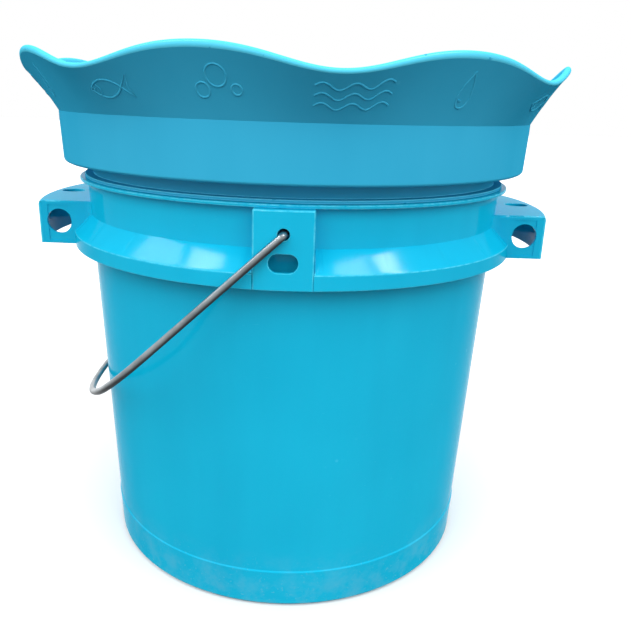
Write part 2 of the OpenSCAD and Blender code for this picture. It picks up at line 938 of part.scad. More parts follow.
// Rod from the crank's pin to the middle of the diaphragm
module connecting_rod() {
    color([0.92, 0.9, 0.84]) {
        difference() {
            union() {
                rod_x(rod_span_x[0], rod_span_x[1], works_y, motor_z, rod_ring_r + 2);
                box([rod_span_x[0], works_y - 1.6, rod_foot_z + 0.2],
                    [rod_span_x[1], works_y + 1.6, motor_z - rod_ring_r - 0.5]);
            }
            rod_x(rod_span_x[0] - 1, rod_span_x[1] + 1, works_y, motor_z, rod_ring_r);
        }
        rod_z(rod_foot_z, rod_foot_z + 1.1, works_x - 1, works_y, rod_foot_r);
    }
}

module diaphragm() {
    color([0.15, 0.15, 0.15])
        translate([works_x - 1, works_y, 0])
            rotate_extrude() polygon([
                [0, diaphragm_z], [5, diaphragm_z], [6.5, diaphragm_z - 1], [9.8, diaphragm_z - 1],
                [9.8, diaphragm_z - 0.1], [7, diaphragm_z - 0.1], [5.4, diaphragm_z + 0.9],
                [0, diaphragm_z + 0.9]
            ]);
}

// Air chamber under the diaphragm with the outlet nipple
module valve_block() {
    base_z = pump_z + case_t + 0.1;
    color([0.85, 0.86, 0.87]) {
        difference() {
            rod_z(base_z, diaphragm_z - 1.05, works_x - 1, works_y, 9.8);
            rod_z(base_z + 2, diaphragm_z, works_x - 1, works_y, 7);
        }
        rod_z(tube_z[1] - 9, base_z + 0.5, works_x, works_y, 2);
    }
}

// Switch knob, the stem in its slot, and the plate that keeps it in
module switch_slider() {
    top = pump_top_z;
    color([0.85, 0.25, 0.15]) {
        box([switch_x - 4, switch_y - 2.2, top - case_t - 0.4], [switch_x + 4, switch_y + 2.2, top + 0.5]);
        box([switch_x - 5, switch_y - 3.4, top + 0.3], [switch_x + 5, switch_y + 3.4, top + 2.6]);
        box([switch_x - 6, switch_y - 3.6, top - case_t - 1.6],
            [switch_x + 6, switch_y + 3.6, top - case_t - 0.3]);
    }
}

bucket();
pail_floor();
carrying_collar();
front_ear();
back_ear();
left_socket();
left_socket_cheeks();
right_socket();
right_socket_cheeks();
bail_wire();
collar_neck();
splash_collar();
bait_basket();
pump_bracket();
bracket_screws();
air_tube();
tube_clips();
tube_elbow();
stone_cap();
air_stone();
stone_saddle();
pump_rear_shell();
pump_front_shell();
case_screws();
case_gasket();
belt_clip();
battery_door();
door_hinge_pin();
battery_cell_left();
battery_cell_right();
contact_springs();
contact_strips();
pump_motor();
motor_crank();
connecting_rod();
diaphragm();
valve_block();
switch_slider();
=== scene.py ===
"""Looks of an aerated bait bucket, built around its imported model.

A turquoise pail hangs on a wire bail, and a splash collar with a wavy flared rim
stands in its mouth. Inside hang a slotted basket, a battery air pump and an air line.
Metres, +Z up, the pail's front ear on -Y and its side sockets on the X axis.
"""

import logging
import math
from dataclasses import dataclass
from enum import Enum
from typing import Callable, Sequence, Union

import bmesh
import bpy
from mathutils import Matrix, Vector


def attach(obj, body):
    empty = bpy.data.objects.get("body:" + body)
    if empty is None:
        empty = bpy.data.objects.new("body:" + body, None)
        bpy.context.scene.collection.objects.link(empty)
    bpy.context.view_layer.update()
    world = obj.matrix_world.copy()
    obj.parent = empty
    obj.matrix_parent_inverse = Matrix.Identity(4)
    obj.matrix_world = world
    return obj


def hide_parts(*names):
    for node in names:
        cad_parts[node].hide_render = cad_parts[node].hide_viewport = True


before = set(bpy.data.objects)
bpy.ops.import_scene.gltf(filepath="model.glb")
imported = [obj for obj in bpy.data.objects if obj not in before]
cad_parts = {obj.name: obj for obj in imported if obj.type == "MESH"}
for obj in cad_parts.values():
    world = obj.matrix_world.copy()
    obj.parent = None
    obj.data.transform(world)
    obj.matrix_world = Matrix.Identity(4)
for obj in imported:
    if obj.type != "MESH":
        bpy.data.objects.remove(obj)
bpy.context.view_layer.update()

LOG = logging.getLogger("bait_bucket")
MM = 0.001
FULL_TURN = 2 * math.pi
FROM_BEHIND = (-math.pi / 2, 0.0, 0.0)  # turn that points a screw's head to +Y
EDGE_ATTRIBUTE = "edge"
ROUNDED_WIDTH = 0.00045  # widest face of a lathe's rounding, in metres
CREASE = math.radians(12)  # turn between two long faces that shades as a crease
FLAT = math.radians(0.8)  # turn under which two faces of a CAD mesh become one
CORNER = math.radians(28)  # turn from which the edge between two faces is rounded
CAD_MERGE = 2e-5  # distance in metres at which a CAD mesh's loose corners merge
SAME = 1e-6  # distance in metres at which two places count as one
NEAR = 0.05  # distance in millimetres at which a place counts as on a CAD edge

Colour = tuple[float, float, float]
Point = tuple[float, float, float]
Outline = list[tuple[float, float]]
Socket = bpy.types.NodeSocket
Source = Union[bpy.types.NodeSocket, bpy.types.ID, float, Sequence[float]]


class Body(Enum):
    """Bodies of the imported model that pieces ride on."""

    PAIL = "pail"
    BAIL = "bail"
    COLLAR = "collar"
    BASKET = "basket"
    PUMP = "pump"
    DOOR = "door"
    CRANK = "crank"
    ROD = "rod"
    SWITCH = "switch"


# ---------------------------------------------------------------- node trees


class NodeDesk:
    """Short calls that place and link nodes in one tree."""

    def __init__(self, tree: bpy.types.NodeTree) -> None:
        """Keeps the tree that the calls work on."""
        self.tree = tree

    def node(
        self, kind: str, inputs: dict[str, Source] | None = None, **settings: object
    ) -> bpy.types.Node:
        """Adds a node, sets its properties and then its inputs.

        Args:
            kind: the node's type name.
            inputs: what its inputs get, by name.
            **settings: properties of the node, by name.

        Returns:
            The new node.
        """
        made = self.tree.nodes.new(kind)
        for name, value in settings.items():
            setattr(made, name, value)
        for name, source in (inputs or {}).items():
            self.feed(made.inputs[name], source)
        return made

    def feed(self, target: Socket, source: Source) -> None:
        """Links a socket into target, or writes a plain value there."""
        if isinstance(source, Socket):
            self.tree.links.new(source, target)
        else:
            target.default_value = source

    def socket(self, name: str, kind: str, is_input: bool, default: float | None = None) -> str:
        """Adds one named socket to the tree's interface.

        Args:
            name: the socket's name.
            kind: its type without the NodeSocket prefix, such as Float.
            is_input: whether it is an input.
            default: its default value, if it has one.

        Returns:
            The socket's identifier.
        """
        made = self.tree.interface.new_socket(
            name=name, in_out="INPUT" if is_input else "OUTPUT", socket_type=f"NodeSocket{kind}"
        )
        if default is not None:
            made.default_value = default
        return made.identifier

    def math(self, operation: str, *values: Source, clamp: bool = False) -> Socket:
        """Adds a Math node.

        Args:
            operation: the Math node's operation.
            *values: its inputs, each a socket or a number.
            clamp: whether the result is kept from 0 to 1.

        Returns:
            The node's output.
        """
        made = self.node("ShaderNodeMath", operation=operation, use_clamp=clamp)
        for socket, value in zip(made.inputs, values):
            self.feed(socket, value)
        return made.outputs[0]

    def span(
        self, value: Source, low: Source, high: Source, to_low: Source = 0.0, to_high: Source = 1.0
    ) -> Socket:
        """Maps a value from one range to another and keeps it inside.

        Args:
            value: what is mapped.
            low: start of its range.
            high: end of its range.
            to_low: result at the start.
            to_high: result at the end.

        Returns:
            The result.
        """
        ends = {"From Min": low, "From Max": high, "To Min": to_low, "To Max": to_high}
        made = self.node("ShaderNodeMapRange", {"Value": value, **ends}, clamp=True)
        return made.outputs["Result"]

    def noise(
        self, vector: Source, scale: Source, detail: float = 2.0, roughness: float = 0.5
    ) -> Socket:
        """Adds a noise texture.

        Args:
            vector: where it is read.
            scale: how fine it is.
            detail: its octaves.
            roughness: strength of the finer octaves.

        Returns:
            The noise, from 0 to 1.
        """
        inputs = {"Vector": vector, "Scale": scale, "Detail": detail, "Roughness": roughness}
        return self.node("ShaderNodeTexNoise", inputs, noise_dimensions="3D").outputs["Fac"]

    def cells(self, vector: Source, scale: Source) -> Socket:
        """Adds a Voronoi texture and returns the distance to its nearest point."""
        inputs = {"Vector": vector, "Scale": scale}
        return self.node("ShaderNodeTexVoronoi", inputs, feature="F1").outputs["Distance"]

    def stretch(self, vector: Source, scale: Point, turn: Point = (0, 0, 0)) -> Socket:
        """Scales and turns coordinates.

        Args:
            vector: the coordinates.
            scale: their scale on each axis.
            turn: their rotation, in radians.

        Returns:
            The new coordinates.
        """
        inputs = {"Vector": vector, "Scale": scale, "Rotation": turn}
        return self.node("ShaderNodeMapping", inputs).outputs["Vector"]

    def parts(self, vector: Source) -> dict[str, Socket]:
        """Splits a vector into its X, Y and Z."""
        made = self.node("ShaderNodeSeparateXYZ", {"Vector": vector})
        return {axis: made.outputs[axis] for axis in "XYZ"}

    def vector(self, x: Source, y: Source, z: Source) -> Socket:
        """Joins three numbers into a vector."""
        return self.node("ShaderNodeCombineXYZ", {"X": x, "Y": y, "Z": z}).outputs["Vector"]

    def bump(self, height: Source, distance: float = 1.0, strength: float = 1.0) -> Socket:
        """Turns a height into a normal.

        Args:
            height: the height.
            distance: metres for a height of 1.
            strength: share of the effect.

        Returns:
            The normal.
        """
        inputs = {"Height": height, "Distance": distance, "Strength": strength}
        return self.node("ShaderNodeBump", inputs).outputs["Normal"]

    def mix(self, factor: Source, first: Source, second: Source) -> Socket:
        """Mixes two colours.

        Args:
            factor: share of the second.
            first: a socket or a plain colour.
            second: a socket or a plain colour.

        Returns:
            The mixed colour.
        """
        made = self.node("ShaderNodeMix", data_type="RGBA")
        colours = [socket for socket in made.inputs if socket.type == "RGBA"]
        self.feed(made.inputs["Factor"], factor)
        for socket, source in zip(colours, (first, second)):
            self.feed(socket, source if isinstance(source, Socket) else (*source, 1.0))
        return next(socket for socket in made.outputs if socket.type == "RGBA")


def shader_of(tree: bpy.types.NodeTree, kind: str) -> bpy.types.Node:
    """Returns the first node of a kind in a tree."""
    return next(node for node in tree.nodes if node.type == kind)


# ---------------------------------------------------------------- shader groups


class MaskGroup:
    """A shader group that reads a Vector and puts out masks or heights."""

    def __init__(self, name: str, inputs: dict[str, float], outputs: Sequence[str]) -> None:
        """Starts the group.

        Args:
            name: the group's name.
            inputs: its float inputs with their defaults, after the Vector input.
            outputs: names of its float outputs.
        """
        self.tree = bpy.data.node_groups.new(name, "ShaderNodeTree")
        self.desk = NodeDesk(self.tree)
        self.desk.socket("Vector", "Vector", True)
        for label, default in inputs.items():
            self.desk.socket(label, "Float", True, default)
        for label in outputs:
            self.desk.socket(label, "Float", False)
        self.given = self.desk.node("NodeGroupInput").outputs
        self.out = self.desk.node("NodeGroupOutput").inputs


def moulding_tone_group() -> bpy.types.NodeTree:
    """Builds the slow change of tone that pigment streaks and flow give moulded plastic.

    Returns:
        The group, with a Tone from 0 to 1.
    """
    upright = (9.0, 9.0, 0.8)
    group = MaskGroup("moulding_tone", {"Scale": 6.0, "Streak": 0.4}, ["Tone"])
    desk, given = group.desk, group.given
    clouds = desk.noise(given["Vector"], given["Scale"])
    streaks = desk.noise(desk.stretch(given["Vector"], upright), given["Scale"], 3.0)
    streaks = desk.math("MULTIPLY", desk.math("SUBTRACT", streaks, 0.5), given["Streak"])
    desk.feed(group.out["Tone"], desk.math("ADD", clouds, streaks, clamp=True))
    return group.tree


def scuff_group() -> bpy.types.NodeTree:
    """Builds crossing hairline scratches in patches, and rare small nicks.

    Returns:
        The group, with a Mask of the scratches and one of the Nicks.
    """
    crossings = (((0.3, 0.2, 0.5), (1.0, 14.0, 14.0)), ((1.1, 0.7, 2.1), (14.0, 1.0, 14.0)))
    hairline, patch, nick, seldom = (0.68, 0.76), (0.5, 0.72), (0.06, 0.1), (0.6, 0.66)
    patch_scale, seldom_scale = 9.0, 34.0
    group = MaskGroup("scuffs", {"Scale": 60.0, "Amount": 0.5}, ["Mask", "Nicks"])
    desk, given = group.desk, group.given
    vector = given["Vector"]
    sets = []
    for turn, scale in crossings:
        lines = desk.noise(desk.stretch(vector, scale, turn), given["Scale"], 2.0, 0.6)
        sets.append(desk.span(lines, *hairline))
    patches = desk.span(desk.noise(vector, patch_scale), *patch)
    scratches = desk.math("MULTIPLY", desk.math("MAXIMUM", *sets), patches)
    desk.feed(group.out["Mask"], desk.math("MULTIPLY", scratches, given["Amount"], clamp=True))
    small = desk.span(desk.cells(vector, given["Scale"]), *nick, 1.0, 0.0)
    rare = desk.span(desk.noise(vector, seldom_scale, 1.0), *seldom)
    desk.feed(group.out["Nicks"], desk.math("MULTIPLY", small, rare, clamp=True))
    return group.tree


def foot_dust_group() -> bpy.types.NodeTree:
    """Builds dust and rubbed specks that gather low on a standing wall.

    Returns:
        The group, with a Mask that fades out at its Top.
    """
    cloud, speck, speck_share = (0.46, 0.72), (0.66, 0.72), 0.9
    cloud_scale, speck_scale = 45.0, 520.0
    group = MaskGroup("foot_dust", {"Top": 0.06, "Amount": 0.5}, ["Mask"])
    desk, given = group.desk, group.given
    height = desk.math("DIVIDE", desk.parts(given["Vector"])["Z"], given["Top"])
    fade = desk.span(height, 0.1, 1.0, 1.0, 0.0)
    patches = desk.span(desk.noise(given["Vector"], cloud_scale, 4.0, 0.65), *cloud)
    specks = desk.span(desk.noise(given["Vector"], speck_scale, 1.0), *speck)
    spots = desk.math("MAXIMUM", patches, desk.math("MULTIPLY", specks, speck_share))
    mask = desk.math("MULTIPLY", desk.math("MULTIPLY", fade, spots), given["Amount"])
    desk.feed(group.out["Mask"], mask)
    return group.tree


def grain_group() -> bpy.types.NodeTree:
    """Builds fine tooling grain and a slow waviness.

    Returns:
        The group, with a Height in metres.
    """
    sizes = {"Grain": 900.0, "Fine": 0.00001, "Wave": 14.0, "Slow": 0.0002}
    group = MaskGroup("tool_grain", sizes, ["Height"])
    desk, given = group.desk, group.given
    fine = desk.math("MULTIPLY", desk.noise(given["Vector"], given["Grain"]), given["Fine"])
    slow = desk.math("MULTIPLY", desk.noise(given["Vector"], given["Wave"], 1.0), given["Slow"])
    desk.feed(group.out["Height"], desk.math("ADD", fine, slow))
    return group.tree


def edge_wear_and_highlight_group() -> bpy.types.NodeTree:
    """Builds worn edges from the piece's own edge attribute, broken up by noise. At a high amount
    the same mask paints a highlight along the edges.

    Returns:
        The group, with a Mask.
    """
    unbroken = (0.3, 0.62)
    group = MaskGroup("edge_wear", {"Scale": 220.0, "Amount": 0.5}, ["Mask"])
    desk, given = group.desk, group.given
    edge = desk.node("ShaderNodeAttribute", attribute_name=EDGE_ATTRIBUTE).outputs["Fac"]
    broken = desk.span(desk.noise(given["Vector"], given["Scale"], 3.0, 0.6), *unbroken)
    mask = desk.math("MULTIPLY", desk.math("MULTIPLY", edge, broken), given["Amount"])
    desk.feed(group.out["Mask"], desk.math("MINIMUM", mask, 1.0))
    return group.tree


def sink_mark_group() -> bpy.types.NodeTree:
    """Builds faint upright marks where ribs behind a wall draw it in.

    Returns:
        The group, with a Mask between the heights Low and High.
    """
    line_width = (0.015, 0.05)
    group = MaskGroup("sink_marks", {"Count": 24.0, "Low": 0.2, "High": 0.3}, ["Mask"])
    desk, given = group.desk, group.given
    place = desk.parts(given["Vector"])
    bearing = desk.math("ARCTAN2", place["Y"], place["X"])
    turns = desk.math("MULTIPLY", bearing, desk.math("DIVIDE", given["Count"], FULL_TURN))
    offset = desk.math("ABSOLUTE", desk.math("SUBTRACT", desk.math("FRACT", turns), 0.5))
    line = desk.span(offset, *line_width, 1.0, 0.0)
    above = desk.math("GREATER_THAN", place["Z"], given["Low"])
    below = desk.math("LESS_THAN", place["Z"], given["High"])
    desk.feed(group.out["Mask"], desk.math("MULTIPLY", line, desk.math("MULTIPLY", above, below)))
    return group.tree


class ShaderShelf:
    """Builds each shared shader group once and places it in materials."""

    MAKERS: dict[str, Callable[[], bpy.types.NodeTree]] = {
        "tone": moulding_tone_group,
        "scuffs": scuff_group,
        "dust": foot_dust_group,
        "grain": grain_group,
        "edge": edge_wear_and_highlight_group,
        "sinks": sink_mark_group,
    }

    def __init__(self) -> None:
        """Builds every group."""
        self.groups = {key: make() for key, make in self.MAKERS.items()}

    def place(self, desk: NodeDesk, key: str, vector: Source, **values: float) -> dict[str, Socket]:
        """Puts one group in a material.

        Args:
            desk: the material's desk.
            key: which group.
            vector: the socket of the coordinates that it reads.
            **values: its inputs, by name.

        Returns:
            The group's outputs, by name.
        """
        inputs = {"Vector": vector, **values}
        made = desk.node("ShaderNodeGroup", inputs, node_tree=self.groups[key])
        return {socket.name: socket for socket in made.outputs}


# ---------------------------------------------------------------- finishes


@dataclass(frozen=True)
class Finish:
    """A finish that builds its own material."""

    name: str
    colour: Colour

    def material(self, shelf: ShaderShelf) -> bpy.types.Material:
        """Builds the finish's material.

        Args:
            shelf: the shared shader groups.

        Returns:
            The material.
        """
        made = bpy.data.materials.new(self.name)
        made.use_nodes = True
        desk = NodeDesk(made.node_tree)
        shader = shader_of(made.node_tree, "BSDF_PRINCIPLED")
        place = desk.node("ShaderNodeTexCoord").outputs["Object"]
        for name, source in self.looks(desk, place, shelf).items():
            desk.feed(shader.inputs[name], source)
        made.diffuse_color = (*self.colour, 1.0)
        return made

    def looks(self, desk: NodeDesk, place: Socket, shelf: ShaderShelf) -> dict[str, Source]:
        """Builds the nodes of the finish; each kind of finish has its own.

        Args:
            desk: the material's desk.
            place: the piece's own coordinates.
            shelf: the shared shader groups.

        Returns:
            What the shader's inputs get, by name.
        """
        raise NotImplementedError


@dataclass(frozen=True)
class MouldedPlastic(Finish):
    """Injection-moulded plastic with flow tone, grain, scuffs, dust, and rubbed edges that a high
    edge amount turns into a painted highlight.
    """

    deep: Colour
    rubbed_and_highlight: Colour
    roughness: float
    waviness: float
    unevenness: float = 0.03
    gloss: float = 0.15
    edge_gloss: float = 0.004
    gloss_facing: tuple[float, float] = (0.25, 0.65)  # from gloss to edge_gloss
    fine_grain: float = 0.000004
    scuffs: float = 0.4
    scuff_tint: float = 0.35
    scuff_roughness: float = 0.25
    scuff_dulling: float = 0.7
    nick_tint: float = 0.5
    # how much the edges pale: wear, and at high amounts a painted highlight
    edge: float = 0.5
    dust: float = 0.0
    dust_top: float = 0.06
    dust_colour: Colour = (0.42, 0.5, 0.5)
    dust_roughness: float = 0.4
    rib_marks: tuple[float, float] | None = None
    rib_depth: float = 0.00016
    rim_light: float = 0.0  # reflection under the coat, which pales the outline

    def looks(self, desk: NodeDesk, place: Socket, shelf: ShaderShelf) -> dict[str, Source]:
        """Builds tone, wear, painted edge highlight, dust, roughness and grain.

        Args:
            desk: the material's desk.
            place: the piece's own coordinates.
            shelf: the shared shader groups.

        Returns:
            What the shader's inputs get, by name.
        """
        tone = shelf.place(desk, "tone", place, Scale=7.0, Streak=0.35)["Tone"]
        scuffs = shelf.place(desk, "scuffs", place, Scale=70.0, Amount=self.scuffs)
        # edge mask: wear, and at high amounts a painted highlight on the roundings
        wear_and_highlight = shelf.place(desk, "edge", place, Scale=260.0, Amount=self.edge)["Mask"]
        colour = desk.mix(desk.span(tone, 0.32, 0.68), self.deep, self.colour)
        scratched = desk.math("MULTIPLY", scuffs["Mask"], self.scuff_tint)
        nicked = desk.math("MULTIPLY", scuffs["Nicks"], self.nick_tint * self.scuffs)
        for mask in (scratched, nicked, wear_and_highlight):
            colour = desk.mix(mask, colour, self.rubbed_and_highlight)
        dull, bright = self.roughness + self.unevenness, self.roughness - self.unevenness
        rough = desk.span(tone, 0.3, 0.7, dull, bright)
        roughened = desk.math("MULTIPLY", scuffs["Mask"], self.scuff_roughness)
        rough = desk.math("ADD", rough, roughened)
        if self.dust:
            dust = shelf.place(desk, "dust", place, Top=self.dust_top, Amount=self.dust)["Mask"]
            colour = desk.mix(dust, colour, self.dust_colour)
            rough = desk.math("ADD", rough, desk.math("MULTIPLY", dust, self.dust_roughness))
        grain = {"Grain": 1400.0, "Fine": self.fine_grain, "Wave": 16.0, "Slow": self.waviness}
        height = shelf.place(desk, "grain", place, **grain)["Height"]
        if self.rib_marks:
            low, high = self.rib_marks
            marks = shelf.place(desk, "sinks", place, Count=24.0, Low=low, High=high)["Mask"]
            height = desk.math("SUBTRACT", height, desk.math("MULTIPLY", marks, self.rib_depth))
        facing = desk.node("ShaderNodeLayerWeight").outputs["Facing"]
        shine = desk.span(facing, *self.gloss_facing, self.gloss, self.edge_gloss)
        dulled = desk.math("MULTIPLY", scuffs["Mask"], self.scuff_dulling)
        return {
            "Base Color": colour,
            "Roughness": rough,
            "Normal": desk.bump(height),
            "Coat Weight": desk.math("MULTIPLY", shine, desk.math("SUBTRACT", 1.0, dulled)),
            "Coat Roughness": self.roughness,
            "Specular IOR Level": self.rim_light,
        }


@dataclass(frozen=True)
class DrawnSteel(Finish):
    """Bare or plated steel with draw lines, tarnish and spots of rust."""

    tarnish: Colour
    roughness: float
    unevenness: float = 0.1
    line_stretch: Point = (60.0, 60.0, 60.0)
    line_depth: float = 0.00003
    rust: Colour = (0.16, 0.06, 0.02)
    rust_amount: float = 0.0
    # painted shade on the faces that look down, in place of the dark surroundings that they would
    # reflect
    painted_shade: float = 0.0
    painted_shade_tone: float = 0.1
    painted_shade_facing: tuple[float, float] = (-0.35, 0.5)  # rise of the normal over which the painted shade fades out

    def looks(self, desk: NodeDesk, place: Socket, shelf: ShaderShelf) -> dict[str, Source]:
        """Builds tarnish, rust, draw lines, and painted shade on the faces that look down.

        Args:
            desk: the material's desk.
            place: the piece's own coordinates.
            shelf: the shared shader groups.

        Returns:
            What the shader's inputs get, by name.
        """
        cloud = desk.noise(place, 60.0, 4.0, 0.6)
        lines = desk.noise(desk.stretch(place, self.line_stretch), 24.0, 3.0, 0.6)
        colour = desk.mix(desk.span(cloud, 0.4, 0.7), self.colour, self.tarnish)
        bright, dull = self.roughness - self.unevenness, self.roughness + self.unevenness
        rough = desk.span(lines, 0.3, 0.7, bright, dull)
        metal: Source = 1.0
        looks: dict[str, Source] = {"Normal": desk.bump(lines, self.line_depth, 0.5)}
        if self.painted_shade:
            # painted shade: the faces that look down turn dark and lose their metal
            upward = desk.parts(desk.node("ShaderNodeNewGeometry").outputs["Normal"])["Z"]
            under = desk.span(upward, *self.painted_shade_facing, self.painted_shade, 0.0)
            colour = desk.mix(under, colour, tuple(self.painted_shade_tone * c for c in self.tarnish))
            metal = desk.math("SUBTRACT", 1.0, under)
            looks["Specular IOR Level"] = 0.05
        if self.rust_amount:
            spots = desk.span(desk.noise(place, 240.0, 4.0, 0.7), 0.62, 0.7)
            spots = desk.math("MULTIPLY", spots, self.rust_amount)
            colour = desk.mix(spots, colour, self.rust)
            rough = desk.math("ADD", rough, desk.math("MULTIPLY", spots, 0.4))
            metal = desk.math("SUBTRACT", metal, desk.math("MULTIPLY", spots, 0.8), clamp=True)
        return looks | {"Base Color": colour, "Roughness": rough, "Metallic": metal}


@dataclass(frozen=True)
class SoftRubber(Finish):
    """Matt black rubber with patches of bloom."""

    bloom: Colour = (0.06, 0.06, 0.058)
    roughness: tuple[float, float] = (0.6, 0.85)
    skin_depth: float = 0.00005

    def looks(self, desk: NodeDesk, place: Socket, shelf: ShaderShelf) -> dict[str, Source]:
        """Builds bloom and a fine skin.

        Args:
            desk: the material's desk.
            place: the piece's own coordinates.
            shelf: the shared shader groups.

        Returns:
            What the shader's inputs get, by name.
        """
        skin = desk.noise(place, 900.0)
        cloud = desk.span(desk.noise(place, 90.0, 3.0), 0.4, 0.75)
        return {
            "Base Color": desk.mix(cloud, self.colour, self.bloom),
            "Roughness": desk.span(cloud, 0.0, 1.0, *self.roughness),
            "Normal": desk.bump(skin, self.skin_depth, 0.3),
        }


@dataclass(frozen=True)
class ClearVinyl(Finish):
    """Cloudy clear hose wall."""

    haze: Colour = (0.8, 0.86, 0.84)
    roughness: tuple[float, float] = (0.1, 0.32)
    clearness: float = 0.75
    bending: float = 1.45

    def looks(self, desk: NodeDesk, place: Socket, shelf: ShaderShelf) -> dict[str, Source]:
        """Builds cloudiness in a wall that lets light through.

        Args:
            desk: the material's desk.
            place: the piece's own coordinates.
            shelf: the shared shader groups.

        Returns:
            What the shader's inputs get, by name.
        """
        cloud = desk.span(desk.noise(place, 70.0, 3.0), 0.35, 0.7)
        return {
            "Base Color": desk.mix(cloud, self.colour, self.haze),
            "Roughness": desk.span(cloud, 0.0, 1.0, *self.roughness),
            "Transmission Weight": self.clearness,
            "IOR": self.bending,
        }


@dataclass(frozen=True)
class SinteredGrit(Finish):
    """Bonded mineral grains with dark pores."""

    pore: Colour = (0.08, 0.1, 0.13)
    shade: float = 0.7
    roughness: tuple[float, float] = (0.85, 0.95)
    grain_depth: float = 0.0004

    def looks(self, desk: NodeDesk, place: Socket, shelf: ShaderShelf) -> dict[str, Source]:
        """Builds grains, pores and a rough skin.

        Args:
            desk: the material's desk.
            place: the piece's own coordinates.
            shelf: the shared shader groups.

        Returns:
            What the shader's inputs get, by name.
        """
        grains = desk.cells(place, 900.0)
        tint = desk.span(desk.noise(place, 700.0), 0.3, 0.7)
        pores = desk.span(desk.noise(place, 420.0, 3.0, 0.7), 0.3, 0.46, 1.0, 0.0)
        colour = desk.mix(tint, tuple(self.shade * c for c in self.colour), self.colour)
        return {
            "Base Color": desk.mix(pores, colour, self.pore),
            "Roughness": desk.span(pores, 0.0, 1.0, *self.roughness),
            "Normal": desk.bump(desk.math("SUBTRACT", grains, pores), self.grain_depth, 0.8),
        }


@dataclass(frozen=True)
class CellJacket(Finish):
    """Painted steel can of a battery cell: a dark body, a bright band and bare ends."""

    band: Colour = (0.62, 0.34, 0.05)
    bare: Colour = (0.62, 0.62, 0.6)
    band_z: float = 0.294
    bare_z: tuple[float, float] = (0.2632, 0.3094)
    roughness: tuple[float, float] = (0.28, 0.5)

    def looks(self, desk: NodeDesk, place: Socket, shelf: ShaderShelf) -> dict[str, Source]:
        """Builds the bands by height, with fine scratches.

        Args:
            desk: the material's desk.
            place: the piece's own coordinates.
            shelf: the shared shader groups.

        Returns:
            What the shader's inputs get, by name.
        """
        height = desk.parts(place)["Z"]
        scuffs = shelf.place(desk, "scuffs", place, Scale=160.0, Amount=0.6)["Mask"]
        colour = desk.mix(desk.math("GREATER_THAN", height, self.band_z), self.colour, self.band)
        below = desk.math("LESS_THAN", height, self.bare_z[0])
        above = desk.math("GREATER_THAN", height, self.bare_z[1])
        scratched = desk.math("MULTIPLY", scuffs, 0.5)
        bare = desk.math("MAXIMUM", desk.math("MAXIMUM", above, below), scratched)
        return {
            "Base Color": desk.mix(bare, colour, self.bare),
            "Metallic": bare,
            "Roughness": desk.span(scuffs, 0.0, 1.0, *self.roughness),
        }


